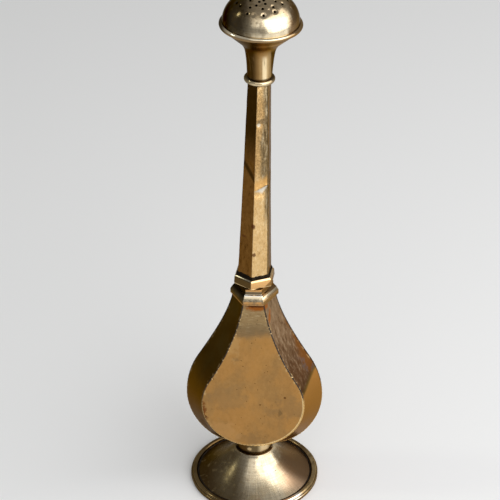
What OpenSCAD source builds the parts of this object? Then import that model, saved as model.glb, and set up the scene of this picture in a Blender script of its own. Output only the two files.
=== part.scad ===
// Rosewater sprinkler: a flattened hexagonal bottle of brass sheet on a spun foot, with a screwed-on
// six-sided neck that carries a pierced rose. Millimetres, +Z up, origin at the centre of the base,
// the broad front panel faces -Y.

/* [Foot] */
// Outer radius of the foot
foot_r = 34; // [30:0.5:40]
// Width of the foot rim, from its outer face to its inner one
rim_w = 6.6; // [6:0.1:8]
// Height of the plain band round the foot rim
rim_band_h = 2.3; // [2:0.1:4]
// Radius of the bead on top of the rim
rim_bead_r = 1.4; // [0.9:0.05:1.6]
// Height of the whole foot, up to the knop
foot_h = 19; // [15:0.1:26]
// Hollowing of the foot's sloping side
foot_hollow = 1.5; // [0:0.1:2.5]
// Thickness of the spun foot sheet
foot_wall = 1.1; // [0.7:0.1:1.6]
// Radius of the knop between foot and belly
knop_r = 9.4; // [8:0.1:11]
// Height of the knop at its lowest place, under the keel of the belly
knop_h = 1.3; // [0.8:0.1:3]
// Radius of the tenon that holds the knop in the foot
tenon_r = 5.5; // [4:0.1:6.5]

/* [Belly] */
// Half width of the belly at its widest
belly_r = 35.5; // [31:0.5:39]
// How much the round of the belly is flattened at the keel
keel_flat = 2.9; // [2:0.1:4]
// How much the upper half of the round is drawn up
belly_stretch = 1.16; // [1:0.01:1.2]
// Height of the sheet body, from keel to collar
body_h = 96.5; // [90:0.5:105]
// Half depth of the belly, from the middle plane to the front panel
belly_half_depth = 15.5; // [14:0.1:16.5]
// Extra roundness in the middle of the front and back panels
panel_crown = 0.4; // [0:0.1:1.2]
// Half width of the front panel at its widest
panel_r = 26.4; // [24:0.1:28]
// How far the widest place of the panel lies above that of the belly
panel_rise = 3.3; // [2:0.1:4]
// Half width of the body where it meets the collar
shoulder_r = 10.6; // [10.2:0.1:11]
// Half width of the front panel where it meets the collar
shoulder_panel_r = 4.95; // [4.6:0.05:5.2]
// Thickness of the body sheet
sheet = 0.9; // [0.6:0.1:1.2]

/* [Body collar] */
// Half width of the body collar over its side corners
collar_r = 12.3; // [12.1:0.1:13.5]
// Half width of the body collar's front face
collar_face = 5.2; // [4.9:0.05:5.8]
// Height of the collar's upright band
collar_band_h = 2.4; // [1.8:0.1:4]
// Height of the collar's sloping part
collar_slope_h = 2.7; // [1.5:0.1:4]
// Half width over the corners at the top of the slope
collar_slope_r = 10.6; // [10.2:0.1:11.2]
// Height of the small step on top
collar_step_h = 2.9; // [2:0.1:4]
// Half width of the small step over its corners
collar_step_r = 9.6; // [9.3:0.1:10]
// How far the sheet body reaches up into the collar
collar_lap = 1.3; // [0.8:0.1:2]

/* [Screw joint] */
// Outer radius of the threaded socket
socket_r = 7.3; // [7.1:0.05:7.5]
// Radius of the socket's thread, drawn as a plain bore
thread_r = 6.3; // [6:0.05:6.5]
// Length of the socket tube
socket_len = 13; // [9:0.5:18]
// Length of the thread on the plug
thread_len = 8; // [6:0.5:9]
// Radius of the waterway through the plug
bore_r = 4.9; // [4.2:0.05:5.2]
// Thickness of the leather washer
washer_t = 1; // [0.6:0.1:1.6]

/* [Neck] */
// Radius over the corners of the neck collar
neck_collar_r = 11; // [10.6:0.1:12]
// Height of the neck collar
neck_collar_h = 5.1; // [4.2:0.1:7]
// Height of the round bore in the neck collar, below the pocket for the tube
neck_floor_h = 2.6; // [1.5:0.1:3.2]
// Radius over the corners of the neck tube at its foot
neck_foot_r = 9.1; // [8.9:0.05:9.3]
// Radius over the corners of the neck tube at its top
neck_top_r = 6.05; // [5.9:0.05:6.6]
// Length of the neck tube
neck_len = 109.5; // [90:0.5:130]
// Thickness of the neck sheet
neck_wall = 0.8; // [0.6:0.05:0.85]
// Waist of the neck tube, drawn in half way up
neck_waist = 0.15; // [0:0.05:0.4]
// Turn of the neck when screwed home, away from the flats of the body
neck_turn = 23.5; // [0:0.5:60]
// Lean of the hand-soldered neck towards +X
neck_lean = 1.25; // [0:0.05:1.5]
// Thickness of the sleeve
sleeve_wall = 0.65; // [0.4:0.05:0.8]
// How far the sleeve reaches into the neck, and again into the rose
sleeve_lap = 8; // [5:0.5:9]
// Radius of the round section of the neck ring
ring_bead_r = 1.45; // [1.2:0.05:1.8]

/* [Rose] */
// Outer radius of the rose's stem above the neck ring
stem_r = 6.05; // [5.8:0.05:6.6]
// Outer radius of the rose at its seam
rose_r = 18.35; // [17:0.05:20]
// Height of the cup, from the neck ring to the seam
cup_h = 26.3; // [24.5:0.1:28]
// Radius of the stem where it starts to flare
throat_r = 7.25; // [6.8:0.05:7.6]
// Height at which the stem starts to flare
throat_h = 13; // [11:0.1:14]
// Radius of the hollow curve of the flare
flare_r = 9; // [8:0.1:10]
// Thickness of the cup
cup_wall = 0.9; // [0.6:0.05:1.1]
// Height of the upright edge of the dome
dome_edge_h = 1.9; // [1:0.1:3]
// Height of the dome above its edge
dome_h = 15.3; // [14:0.1:18]
// Thickness of the dome sheet
dome_wall = 0.8; // [0.5:0.05:1]
// Radius of the half-round wire over the seam
rose_bead_r = 1.2; // [0.9:0.05:1.4]
// Diameter of the holes in the rose
hole_d = 1.3; // [1:0.05:1.7]

/* [Fits] */
// Room for solder round the tubes, on the radius
solder_fit = 0.08; // [0.04:0.01:0.15]
// Room round the plug's upper end inside the leaning neck tube
spigot_fit = 0.35; // [0.3:0.05:0.6]
// Running clearance of the screw, on the radius
screw_fit = 0.05; // [0.02:0.01:0.1]
// Gap left between the screwed faces
face_gap = 0.05; // [0.02:0.01:0.1]

/* [Hidden] */

// Corners of all sheet sections turn by this angle
fold = 60;
// Angles from the vertical at which the rounds of belly and panel run out into the shoulder
run_out = 55;
panel_run_out = 60;
shoulder_rows = 9;
belly_rows = 20;
// Share of a side panel's rows that lie in the shoulder
shoulder_share = 0.4;

rim_bead_x = foot_r - 2.1;
rim_seat_z = rim_band_h - 0.4;
cone_r = rim_bead_x - rim_bead_r - 0.9;
cone_top_r = knop_r + 1;
keel_z = foot_h + knop_h;
belly_drop = belly_r - keel_flat;
belly_z = keel_z + belly_drop;
panel_z = belly_z + panel_rise;
body_top = keel_z + body_h;
collar_z = body_top - collar_lap;
slope_z = collar_z + collar_band_h;
step_z = slope_z + collar_slope_h;
collar_top = step_z + collar_step_h;
socket_top = collar_top - washer_t;
neck_z = collar_top + face_gap;
plug_r = thread_r - screw_fit;
spigot_r = neck_foot_r * cos(30) - neck_wall - spigot_fit;
sleeve_r = neck_top_r * cos(30) - neck_wall - solder_fit;
tube_z = neck_z + neck_floor_h;
ring_h = 2 * ring_bead_r - 0.2;
cup_z = neck_len + ring_h;
seam_z = cup_z + cup_h;

function lerp(a, b, t) = a + (b - a) * t;
function unit(v) = v / norm(v);
function bezier(p, t) = pow(1 - t, 3) * p[0] + 3 * pow(1 - t, 2) * t * p[1]
    + 3 * (1 - t) * t * t * p[2] + pow(t, 3) * p[3];
function arc(c, r, a, b, n) = [for (i = [0 : n]) c + r * [cos(lerp(a, b, i / n)), sin(lerp(a, b, i / n))]];

// Body outlines, as [half width, height] along the edge from the collar, s = 0, to the keel, s = 1.
// The round is a circle, drawn up above its widest place by `k` and flattened by `flat` at its
// lowest; the shoulder leaves it at the angle `a`, and `pull` and `lean` fill the shoulder out.
function outline_round(r, z, flat, k, a) = a < 90
    ? [r * sin(a), z + k * r * cos(a)]
    : [r * sin(a), z + r * cos(a) + (flat > 0 ? flat * pow(-cos(a), r / flat) : 0)];
function outline_shoulder(r, z, k, a, pull, lean, top, t) =
    let (start = outline_round(r, z, 0, k, a), rise = body_top - start[1])
    bezier([[top, body_top], [top + rise * lean, body_top - rise * 0.3],
        start + rise * pull * unit([-cos(a), k * sin(a)]), start], t);
function round_angle(a, s) = lerp(a, 180, (s - shoulder_share) / (1 - shoulder_share));
function edge(s) = s < shoulder_share
    ? outline_shoulder(belly_r, belly_z, belly_stretch, run_out, 0.4, 0.05, shoulder_r, s / shoulder_share)
    : outline_round(belly_r, belly_z, keel_flat, belly_stretch, round_angle(run_out, s));
function panel_edge(s) = s < shoulder_share
    ? outline_shoulder(panel_r, panel_z, 1, panel_run_out, 0.43, 0.03, shoulder_panel_r, s / shoulder_share)
    : outline_round(panel_r, panel_z, 0, 1, round_angle(panel_run_out, s));

// Half depth of the body at a height: straight down the belly, drawn in towards the collar
shoulder_depth = (shoulder_r - shoulder_panel_r) * tan(fold);
depth_start = panel_z + panel_r * 0.67;
depth_low = panel_z - panel_r;
function half_depth(z) =
    let (t = max(0, min(1, (body_top - z) / (body_top - depth_start))),
        c = max(0, min(1, (z - depth_low) / (depth_start - depth_low))))
    lerp(shoulder_depth, belly_half_depth, 0.5 - 0.5 * cos(180 * t)) + panel_crown * (0.5 - 0.5 * cos(360 * c));

rows = concat([for (i = [0 : shoulder_rows - 1]) shoulder_share * i / shoulder_rows],
    [for (i = [0 : belly_rows]) lerp(shoulder_share, 1, i / belly_rows)]);
last = len(rows) - 1;

// Outward direction of an outline, square to it, in the middle plane
function outward(p, q) = let (d = unit(q - p)) [-d[1], d[0]];
function edge_out(s) = s >= 1 ? [0, -1] : outward(edge(s), edge(min(1, s + 0.002)));
function panel_out(s) = s >= 1 ? [0, -1] : outward(panel_edge(s), panel_edge(min(1, s + 0.002)));

// Mitred corners of the sheet at each row: front corner and side corner, on the outer and inner skin.
// `deep` is the sheet's thickness for the inner skin and 0 for the outer one.
function front_corner(s, deep) =
    let (p = panel_edge(s), y = half_depth(p[1]), w = norm(edge(s) - p), l = norm([w, y]),
        q = p - panel_out(s) * deep * (l - w) / y)
    [max(0, q[0]), -(y - deep), q[1]];
function side_corner(s, deep) =
    let (p = edge(s), e = panel_edge(s), y = half_depth(e[1]), w = norm(p - e), l = norm([w, y]),
        q = p - edge_out(s) * deep * l / y)
    [max(0, q[0]), 0, q[1]];

function flip_x(v) = [for (p = v) [-p[0], p[1], p[2]]];

// A skin over rows of four or six points, running down, each row clockwise when seen from above.
// The sides named in `crossed` are split along their other diagonal, to match what they lie against.
module lofted(sections, crossed = []) {
    n = len(sections[0]);
    m = len(sections);
    points = [for (s = sections) each s];
    sides = [for (i = [0 : m - 2], j = [0 : n - 1])
        let (a = i * n + j, b = a + n, c = i * n + (j + 1) % n, d = c + n)
        each len(search(j, crossed)) > 0 ? [[a, b, d], [a, d, c]] : [[a, b, c], [c, b, d]]];
    lid = n == 4 ? [[0, 1, 2], [0, 2, 3]] : [[0, 1, 4], [0, 4, 5], [1, 2, 3], [1, 3, 4]];
    base = [for (f = lid) [for (i = [2 : -1 : 0]) (m - 1) * n + f[i]]];
    polyhedron(points, concat(sides, lid, base), convexity = 6);
}

// One side panel: from the front panel's edge to the corner in the middle plane
module side_sheet() {
    lofted([for (s = rows) [front_corner(s, 0), front_corner(s, sheet), side_corner(s, sheet), side_corner(s, 0)]]);
}

// Front panel: two corners a row, and one point where it ends above the keel
module broad_sheet() {
    m = last;
    outer = [for (i = [0 : m - 1]) front_corner(rows[i], 0)];
    inner = [for (i = [0 : m - 1]) front_corner(rows[i], sheet)];
    tip = [front_corner(1, 0), front_corner(1, sheet)];
    points = concat(outer, flip_x(outer), inner, flip_x(inner), tip);
    faces = concat(
        [for (i = [0 : m - 2]) each [[i, i + 1, m + i], [i + 1, m + i + 1, m + i]]],
        [for (i = [0 : m - 2]) let (a = 2 * m + i, b = 3 * m + i) each [[a, b, a + 1], [a + 1, b, b + 1]]],
        [for (i = [0 : m - 2]) let (a = 2 * m + i) each [[i, a, i + 1], [a, a + 1, i + 1]]],
        [for (i = [0 : m - 2]) let (a = m + i, b = 3 * m + i) each [[a, a + 1, b], [b, a + 1, b + 1]]],
        [[m - 1, 4 * m, 2 * m - 1], [3 * m - 1, 4 * m - 1, 4 * m + 1]],
        [[m - 1, 3 * m - 1, 4 * m], [3 * m - 1, 4 * m + 1, 4 * m]],
        [[2 * m - 1, 4 * m, 4 * m - 1], [4 * m - 1, 4 * m, 4 * m + 1]],
        [[0, m, 2 * m], [m, 3 * m, 2 * m]]);
    polyhedron(points, faces, convexity = 6);
}

// The space that the closed body fills, for what is cut to fit it
module body_block() {
    lofted([for (s = rows) let (f = front_corner(s, 0), e = side_corner(s, 0),
        fx = max(0.01, f[0]), ex = max(0.01, e[0]))
        [[-fx, f[1], f[2]], [-ex, 0, e[2]], [-fx, -f[1], f[2]],
            [fx, -f[1], f[2]], [ex, 0, e[2]], [fx, f[1], f[2]]]], [0, 3]);
}

// A hexagon with equal corner angles, wide by its side corners `r` and its front face `face`
function hexagon(r, face, z) = let (y = (r - face) * tan(fold))
    [[-face, -y, z], [-r, 0, z], [-face, y, z], [face, y, z], [r, 0, z], [face, -y, z]];
module hex_moulding(steps) {
    sections = [for (i = [len(steps) - 1 : -1 : 0]) hexagon(steps[i][0], steps[i][1], steps[i][2])];
    lofted(sections);
}
module even_hex(steps) {
    hex_moulding([for (s = steps) [s[0], s[0] / 2, s[1]]]);
}
module tube(r, wall, h) {
    difference() {
        cylinder(r = r, h = h, $fn = 64);
        translate([0, 0, -1]) cylinder(r = r - wall, h = h + 2, $fn = 64);
    }
}
module on_neck() {
    translate([0, 0, tube_z]) rotate([0, neck_lean, 0]) children();
}

module foot_rim() {
    soft = 0.9;
    color("peru") rotate_extrude($fn = 96) polygon(concat(
        [[foot_r - rim_w, 0], [foot_r - soft, 0]],
        arc([foot_r - soft, soft], soft, -60, 0, 3),
        arc([foot_r - soft, rim_band_h - soft], soft, 0, 90, 4),
        arc([rim_bead_x, rim_band_h - 0.2], rim_bead_r, 10, 175, 10),
        [[cone_r + 0.7, rim_seat_z], [foot_r - rim_w + 0.9, rim_seat_z], [foot_r - rim_w, rim_seat_z - 0.9]]));
}
module foot_cone() {
    foot = [cone_r, rim_seat_z + 0.5];
    top = [cone_top_r, foot_h - 0.7];
    slope = unit(top - foot);
    pull = (foot + top) / 2 - 2 * foot_hollow * [slope[1], -slope[0]];
    outer = [for (i = [0 : 10]) let (t = i / 10)
        pow(1 - t, 2) * foot + 2 * (1 - t) * t * pull + t * t * top];
    inner = [for (i = [10 : -1 : 0]) let (t = i / 10,
        d = unit((1 - t) * (pull - foot) + t * (top - pull)),
        p = outer[i] - foot_wall * [d[1], -d[0]])
        [p[0], max(p[1], rim_seat_z)]];
    color("goldenrod") rotate_extrude($fn = 96) polygon(concat(
        [[cone_r, rim_seat_z]], outer,
        [[cone_top_r - 0.15, foot_h - 0.2], [cone_top_r - 0.5, foot_h], [tenon_r, foot_h],
            [tenon_r, foot_h - foot_wall], [inner[0][0], foot_h - foot_wall]],
        [for (i = [1 : 10]) inner[i]]));
}
module foot_knop() {
    top = keel_z + belly_half_depth;
    color("darkgoldenrod") difference() {
        rotate_extrude($fn = 96) polygon([[0, foot_h - foot_wall], [tenon_r, foot_h - foot_wall],
            [tenon_r, foot_h], [knop_r - 0.4, foot_h], [knop_r - 0.1, foot_h + 0.5], [knop_r, foot_h + 1.6],
            [knop_r - 0.1, foot_h + 3], [knop_r - 0.5, foot_h + 4.6], [knop_r - 0.9, foot_h + 6],
            [knop_r - 0.9, top], [0, top]]);
        body_block();
    }
}
module front_panel() {
    color("burlywood") broad_sheet();
}
module back_panel() {
    color("tan") mirror([0, 1, 0]) broad_sheet();
}
module front_right_side() {
    color("rosybrown") side_sheet();
}
module front_left_side() {
    color("saddlebrown") mirror([1, 0, 0]) side_sheet();
}
module back_right_side() {
    color("sienna") mirror([0, 1, 0]) side_sheet();
}
module back_left_side() {
    color("peru") mirror([1, 0, 0]) mirror([0, 1, 0]) side_sheet();
}
module body_collar() {
    // The step's faces keep the same distance inside the slope on all six sides
    face_in = (collar_r - collar_slope_r) / 2;
    step_in = (collar_r - collar_step_r) / 2;
    color("khaki") difference() {
        union() {
            hex_moulding([[collar_r, collar_face, collar_z], [collar_r, collar_face, slope_z],
                [collar_slope_r, collar_face - face_in, step_z]]);
            hex_moulding([[collar_step_r, collar_face - step_in, collar_z + 0.5],
                [collar_step_r, collar_face - step_in, collar_top - 0.3],
                [collar_step_r - 0.3, collar_face - step_in - 0.15, collar_top]]);
        }
        body_block();
        translate([0, 0, collar_z - 1]) cylinder(r = socket_r, h = collar_top - collar_z + 2, $fn = 64);
    }
}
module screw_socket() {
    color("gold") translate([0, 0, socket_top - socket_len])
        tube(socket_r, socket_r - thread_r, socket_len);
}
module neck_washer() {
    color("sienna") translate([0, 0, socket_top])
        tube(socket_r - screw_fit, socket_r - screw_fit - thread_r, washer_t);
}
module neck_plug() {
    top = neck_z + neck_floor_h + 3;
    color("gold") difference() {
        rotate_extrude($fn = 64) polygon([[0, neck_z - thread_len], [plug_r - 0.5, neck_z - thread_len],
            [plug_r, neck_z - thread_len + 0.5], [plug_r, neck_z], [spigot_r, neck_z], [spigot_r, top], [0, top]]);
        translate([0, 0, neck_z - thread_len - 1]) cylinder(r = bore_r, h = thread_len + 8 + neck_floor_h, $fn = 64);
    }
}
module neck_tube_block() {
    n = 5;
    on_neck() rotate([0, 0, neck_turn]) even_hex([for (i = [0 : n])
        [lerp(neck_foot_r, neck_top_r, i / n) - neck_waist * sin(180 * i / n), neck_len * i / n]]);
}
module neck_collar() {
    color("khaki") difference() {
        translate([0, 0, neck_z]) rotate([0, 0, neck_turn]) even_hex([[neck_collar_r - 0.4, 0],
            [neck_collar_r, 0.9], [neck_collar_r - 0.3, neck_collar_h - 0.8],
            [neck_collar_r - 1.1, neck_collar_h]]);
        translate([0, 0, neck_z - 1]) cylinder(r = spigot_r + solder_fit, h = neck_floor_h + 2, $fn = 64);
        neck_tube_block();
    }
}
module neck_tube() {
    color("wheat") difference() {
        neck_tube_block();
        on_neck() rotate([0, 0, neck_turn]) even_hex([
            [neck_foot_r - neck_wall / cos(30) - neck_waist / 2, -1],
            [lerp(neck_foot_r, neck_top_r, 0.5) - neck_wall / cos(30) - neck_waist, neck_len / 2],
            [neck_top_r - neck_wall / cos(30), neck_len + 1]]);
    }
}
module rose_sleeve() {
    color("gold") on_neck() translate([0, 0, neck_len - sleeve_lap])
        tube(sleeve_r, sleeve_wall, 2 * sleeve_lap + ring_h);
}
module neck_ring() {
    color("goldenrod") on_neck() translate([0, 0, neck_len]) rotate_extrude($fn = 64) intersection() {
        translate([stem_r, ring_h / 2]) circle(r = ring_bead_r, $fn = 24);
        translate([sleeve_r, 0]) square([stem_r, ring_h]);
    }
}
module rose_cup() {
    // Outline from stem to seam, as [radius, height] with the wall's angle from the vertical
    edge_h = 0.8;
    spread = 48;
    bend = [stem_r + 0.15, throat_h * 0.55];
    start = [stem_r, 0];
    throat = [throat_r, throat_h];
    lead = atan2(throat_r - bend[0], throat_h - bend[1]);
    centre = throat + flare_r * [cos(lead), -sin(lead)];
    stem = [for (i = [0 : 5]) let (t = i / 6, d = (1 - t) * (bend - start) + t * (throat - bend))
        [pow(1 - t, 2) * start + 2 * (1 - t) * t * bend + t * t * throat, atan2(d[0], d[1])]];
    flare = [for (i = [0 : 7]) let (a = lerp(lead, spread, i / 7))
        [centre + flare_r * [-cos(a), sin(a)], a]];
    rim = [rose_r, cup_h - edge_h];
    slope = atan2(rim[0] - flare[7][0][0], rim[1] - flare[7][0][1]);
    outer = concat(stem, flare);
    n = len(outer) - 1;
    color("peru") on_neck() translate([0, 0, cup_z]) rotate_extrude($fn = 96) polygon(concat(
        [[sleeve_r, 0]], [for (p = outer) p[0]], [rim, [rose_r, cup_h], [rose_r - cup_wall, cup_h],
            [rose_r - cup_wall, rim[1] + cup_wall * tan(slope / 2)]],
        [for (i = [n : -1 : 4]) outer[i][0] + cup_wall * [-cos(outer[i][1]), sin(outer[i][1])]],
        [[sleeve_r, sleeve_lap + 0.5]]));
}
module rose_seam_wire() {
    color("khaki") on_neck() translate([0, 0, seam_z]) rotate_extrude($fn = 96) intersection() {
        translate([rose_r + 0.2, 0.6]) circle(r = rose_bead_r, $fn = 24);
        translate([rose_r, -2 * rose_bead_r]) square([2 * rose_bead_r, 5 * rose_bead_r]);
    }
}

// Places of the holes, as [angle round the dome from the front, distance from its axis].
// Those in front were punched by eye; the rest follow in uneven rings.
front_holes = [[-24.5, 14.4], [6.5, 14.4], [30, 13.4], [-65, 12.5], [-49, 12.6], [-24, 11.8],
    [-11, 10.4], [5, 11.8], [31, 11.4], [59, 11.6], [88, 12.3], [13, 9.4], [-35, 8.6], [-5, 8.3],
    [47, 9.2], [10, 7.4]];
function ring_holes(r, n, from, to) = [for (i = [0 : n - 1])
    [lerp(from, to, i / (n - 1)) + 4 * sin(137 * i + 40 * r), r + 0.5 * sin(211 * i + 60 * r)]];
holes = concat(front_holes, ring_holes(11.6, 8, 112, 270), ring_holes(13.8, 6, 120, 262),
    ring_holes(8.2, 6, 88, 292), ring_holes(4.6, 7, 10, 318), [[0, 0.4]]);

module rose_dome() {
    n = 14;
    function dome(a, r, h, t) = [r * cos(t), h * sin(t)];
    color("darkkhaki") on_neck() translate([0, 0, seam_z]) difference() {
        rotate_extrude($fn = 96) polygon(concat(
            [[rose_r - dome_wall, 0], [rose_r, 0]],
            [for (i = [0 : n]) [rose_r * cos(90 * i / n), dome_edge_h + dome_h * sin(90 * i / n)]],
            [for (i = [n : -1 : 0]) [(rose_r - dome_wall) * cos(90 * i / n),
                dome_edge_h + (dome_h - dome_wall) * sin(90 * i / n)]]));
        for (h = holes) {
            z = dome_h * sqrt(1 - pow(h[1] / rose_r, 2));
            tilt = atan2(h[1] / pow(rose_r, 2), z / pow(dome_h, 2));
            rotate([0, 0, h[0] - 90]) translate([h[1], 0, dome_edge_h + z]) rotate([0, tilt, 0])
                cylinder(d = hole_d, h = 4 * dome_wall, center = true, $fn = 24);
        }
    }
}

foot_rim();
foot_cone();
foot_knop();
front_panel();
back_panel();
front_right_side();
front_left_side();
back_right_side();
back_left_side();
body_collar();
screw_socket();
neck_washer();
neck_plug();
neck_collar();
neck_tube();
rose_sleeve();
neck_ring();
rose_cup();
rose_seam_wire();
rose_dome();
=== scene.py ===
# %% [markdown]
# # A brass rosewater sprinkler
#
# The real object is a flat, six-sided bottle of brass sheet on a spun foot. A long six-sided neck
# screws into it and ends in a round rose with punched holes. The measured model of its pieces comes
# from a CAD program. Here each piece that shows is modelled again in its place, with the rounded
# edges, dents, solder and tarnish that make it look handmade.

# %% Load the measured model
import math
import bpy
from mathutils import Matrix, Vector


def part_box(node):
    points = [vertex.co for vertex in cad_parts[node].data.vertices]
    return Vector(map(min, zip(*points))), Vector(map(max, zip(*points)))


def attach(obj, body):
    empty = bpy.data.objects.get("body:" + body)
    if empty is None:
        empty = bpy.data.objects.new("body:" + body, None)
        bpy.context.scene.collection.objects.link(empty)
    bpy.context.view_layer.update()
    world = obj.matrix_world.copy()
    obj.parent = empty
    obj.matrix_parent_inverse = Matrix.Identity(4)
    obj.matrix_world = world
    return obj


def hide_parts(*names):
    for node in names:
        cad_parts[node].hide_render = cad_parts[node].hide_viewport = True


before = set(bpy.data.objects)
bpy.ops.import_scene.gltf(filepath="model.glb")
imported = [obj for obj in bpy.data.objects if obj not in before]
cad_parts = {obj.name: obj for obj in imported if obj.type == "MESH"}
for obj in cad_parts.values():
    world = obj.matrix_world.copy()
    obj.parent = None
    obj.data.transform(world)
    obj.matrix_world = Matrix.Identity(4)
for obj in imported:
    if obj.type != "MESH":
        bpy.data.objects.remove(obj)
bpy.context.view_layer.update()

mm = 0.001
print("pieces to dress:", sorted(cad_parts))

# %% [markdown]
# ## Small helpers
#
# Blender's operators act on whatever is selected. So every step begins with nothing selected, and a
# modifier is applied as soon as it is set, just as you would do it with the mouse.

# %% Selecting and applying
def pick(*pieces):
    if bpy.context.mode != "OBJECT":
        bpy.ops.object.mode_set(mode="OBJECT")
    bpy.ops.object.select_all(action="DESELECT")
    for piece in pieces:
        piece.select_set(True)
    if pieces:
        bpy.context.view_layer.objects.active = pieces[0]


def modify(piece, kind, **settings):
    pick(piece)
    modifier = piece.modifiers.new(kind.title(), kind)
    for key, value in settings.items():
        setattr(modifier, key, value)
    bpy.ops.object.modifier_apply(modifier=modifier.name)
    return piece


def round_edges(piece, width, segments=2, angle=30):
    return modify(piece, "BEVEL", width=width * mm, segments=segments, limit_method="ANGLE",
                  angle_limit=math.radians(angle), harden_normals=False)


def joined(name, *pieces):
    pick(*pieces)
    bpy.ops.object.join()
    bpy.context.object.name = name
    return bpy.context.object


def settle(piece):
    """Applies the object's place, so that it lies in the mesh and the object sits at the origin."""
    pick(piece)
    bpy.ops.object.transform_apply(location=True, rotation=True, scale=True)
    return piece


def clean(piece):
    pick(piece)
    bpy.ops.object.mode_set(mode="EDIT")
    bpy.ops.mesh.select_all(action="SELECT")
    bpy.ops.mesh.remove_doubles(threshold=0.004 * mm)
    bpy.ops.mesh.normals_make_consistent(inside=False)
    bpy.ops.object.mode_set(mode="OBJECT")
    return piece


def choose(piece, wanted):
    """Opens the piece in edit mode with just those vertices selected whose place is wanted."""
    pick(piece)
    bpy.ops.object.mode_set(mode="EDIT")
    bpy.ops.mesh.select_mode(type="VERT")
    bpy.ops.mesh.select_all(action="DESELECT")
    bpy.ops.object.mode_set(mode="OBJECT")
    for v in piece.data.vertices:
        v.select = wanted(v.co)
    bpy.ops.object.mode_set(mode="EDIT")


def uneven(piece, size, strength):
    """Pushes the surface in and out by a soft cloud pattern, as handwork leaves it."""
    clouds = bpy.data.textures.new(piece.name + "_clouds", "CLOUDS")
    clouds.noise_scale = size * mm
    clouds.noise_depth = 1
    return modify(piece, "DISPLACE", texture=clouds, strength=strength * mm, mid_level=0.5,
                  texture_coords="LOCAL")


def smooth(piece, angle=32):
    pick(piece)
    bpy.ops.object.shade_smooth_by_angle(angle=math.radians(angle))
    return piece


# %% [markdown]
# ## A lathe
#
# Most of the foot and the rose was spun or turned. A circle is drawn at the first point of an outline,
# then extruded and resized from point to point. With six corners in place of a round, the same
# tool makes the collars and the neck.

# %% Turning an outline
def turned(name, outline, sides=128, turn=0.0, closed=True, cuts=0):
    pick()
    radius, height = outline[0]
    bpy.ops.mesh.primitive_circle_add(vertices=sides, radius=radius * mm, location=(0, 0, height * mm))
    piece = bpy.context.object
    piece.name = name
    settle(piece)
    bpy.ops.object.mode_set(mode="EDIT")
    bpy.ops.mesh.select_all(action="SELECT")
    if cuts:
        bpy.ops.mesh.subdivide(number_cuts=cuts)
    stops = outline + [outline[0]] if closed else outline
    for (r_from, z_from), (r_to, z_to) in zip(stops, stops[1:]):
        bpy.ops.mesh.extrude_region_move(TRANSFORM_OT_translate={"value": (0, 0, (z_to - z_from) * mm)})
        if r_to == 0:
            bpy.ops.mesh.merge(type="CENTER")
            break
        k = r_to / r_from
        bpy.ops.transform.resize(value=(k, k, 1), center_override=(0, 0, z_to * mm))
    bpy.ops.object.mode_set(mode="OBJECT")
    clean(piece)
    if turn:
        piece.rotation_euler.z = math.radians(turn)
        settle(piece)
    return piece


def arc(cx, cz, radius, start, end, steps):
    """Points on an arc, for an outline. The angles are in degrees."""
    points = []
    for i in range(steps + 1):
        a = math.radians(start + (end - start) * i / steps)
        points.append((cx + radius * math.cos(a), cz + radius * math.sin(a)))
    return points


# %% [markdown]
# ## Finishing a piece
#
# Each new piece gets a material, rides on the part of the bottle that carries it, and stands for
# the CAD node that it replaces.

# %% Handing a piece over
def hand_over(piece, body, material, slot, *nodes):
    piece.data.materials.clear()
    piece.data.materials.append(material)
    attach(piece, body)
    if nodes:
        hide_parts(*nodes)
    print(piece.name, len(piece.data.polygons), "faces")
    return piece


# %% [markdown]
# ## Shared effects
#
# Old brass is never one colour. Four effects come back in nearly every material, so each is a node
# group with its own inputs: cloudy tarnish, fine scratches, small pits, and the rings that a lathe leaves.
# All of them read Object coordinates, so that the pattern stays on the piece.

# %% Building a node group
def new_group(name, inputs, outputs):
    group = bpy.data.node_groups.new(name, "ShaderNodeTree")
    for label, kind, value in inputs:
        socket = group.interface.new_socket(name=label, in_out="INPUT", socket_type=kind)
        if value is not None:
            socket.default_value = value
    for label, kind in outputs:
        group.interface.new_socket(name=label, in_out="OUTPUT", socket_type=kind)
    return group, group.nodes.new("NodeGroupInput"), group.nodes.new("NodeGroupOutput")


def add(tree, kind, **settings):
    node = tree.nodes.new(kind)
    for key, value in settings.items():
        setattr(node, key, value)
    return node


def maths(tree, operation, a, b=None, clamp=False):
    node = add(tree, "ShaderNodeMath", operation=operation, use_clamp=clamp)
    for socket, value in zip(node.inputs, (a, b)):
        if value is None:
            continue
        if isinstance(value, (int, float)):
            socket.default_value = value
        else:
            tree.links.new(value, socket)
    return node.outputs[0]


def spread(tree, value, low, high, to_low=0.0, to_high=1.0):
    node = add(tree, "ShaderNodeMapRange", interpolation_type="SMOOTHSTEP")
    tree.links.new(value, node.inputs["Value"])
    for label, number in zip(("From Min", "From Max", "To Min", "To Max"), (low, high, to_low, to_high)):
        node.inputs[label].default_value = number
    return node.outputs["Result"]


def noise(tree, vector, scale, detail=3.0, roughness=0.55):
    node = add(tree, "ShaderNodeTexNoise")
    tree.links.new(vector, node.inputs["Vector"])
    if isinstance(scale, (int, float)):
        node.inputs["Scale"].default_value = scale
    else:
        tree.links.new(scale, node.inputs["Scale"])
    node.inputs["Detail"].default_value = detail
    node.inputs["Roughness"].default_value = roughness
    return node.outputs["Fac"]


def stretched(tree, vector, scale, turn=(0, 0, 0), shift=(0, 0, 0)):
    node = add(tree, "ShaderNodeMapping")
    tree.links.new(vector, node.inputs["Vector"])
    node.inputs["Scale"].default_value = scale
    node.inputs["Rotation"].default_value = [math.radians(a) for a in turn]
    node.inputs["Location"].default_value = shift
    return node.outputs["Vector"]


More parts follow.
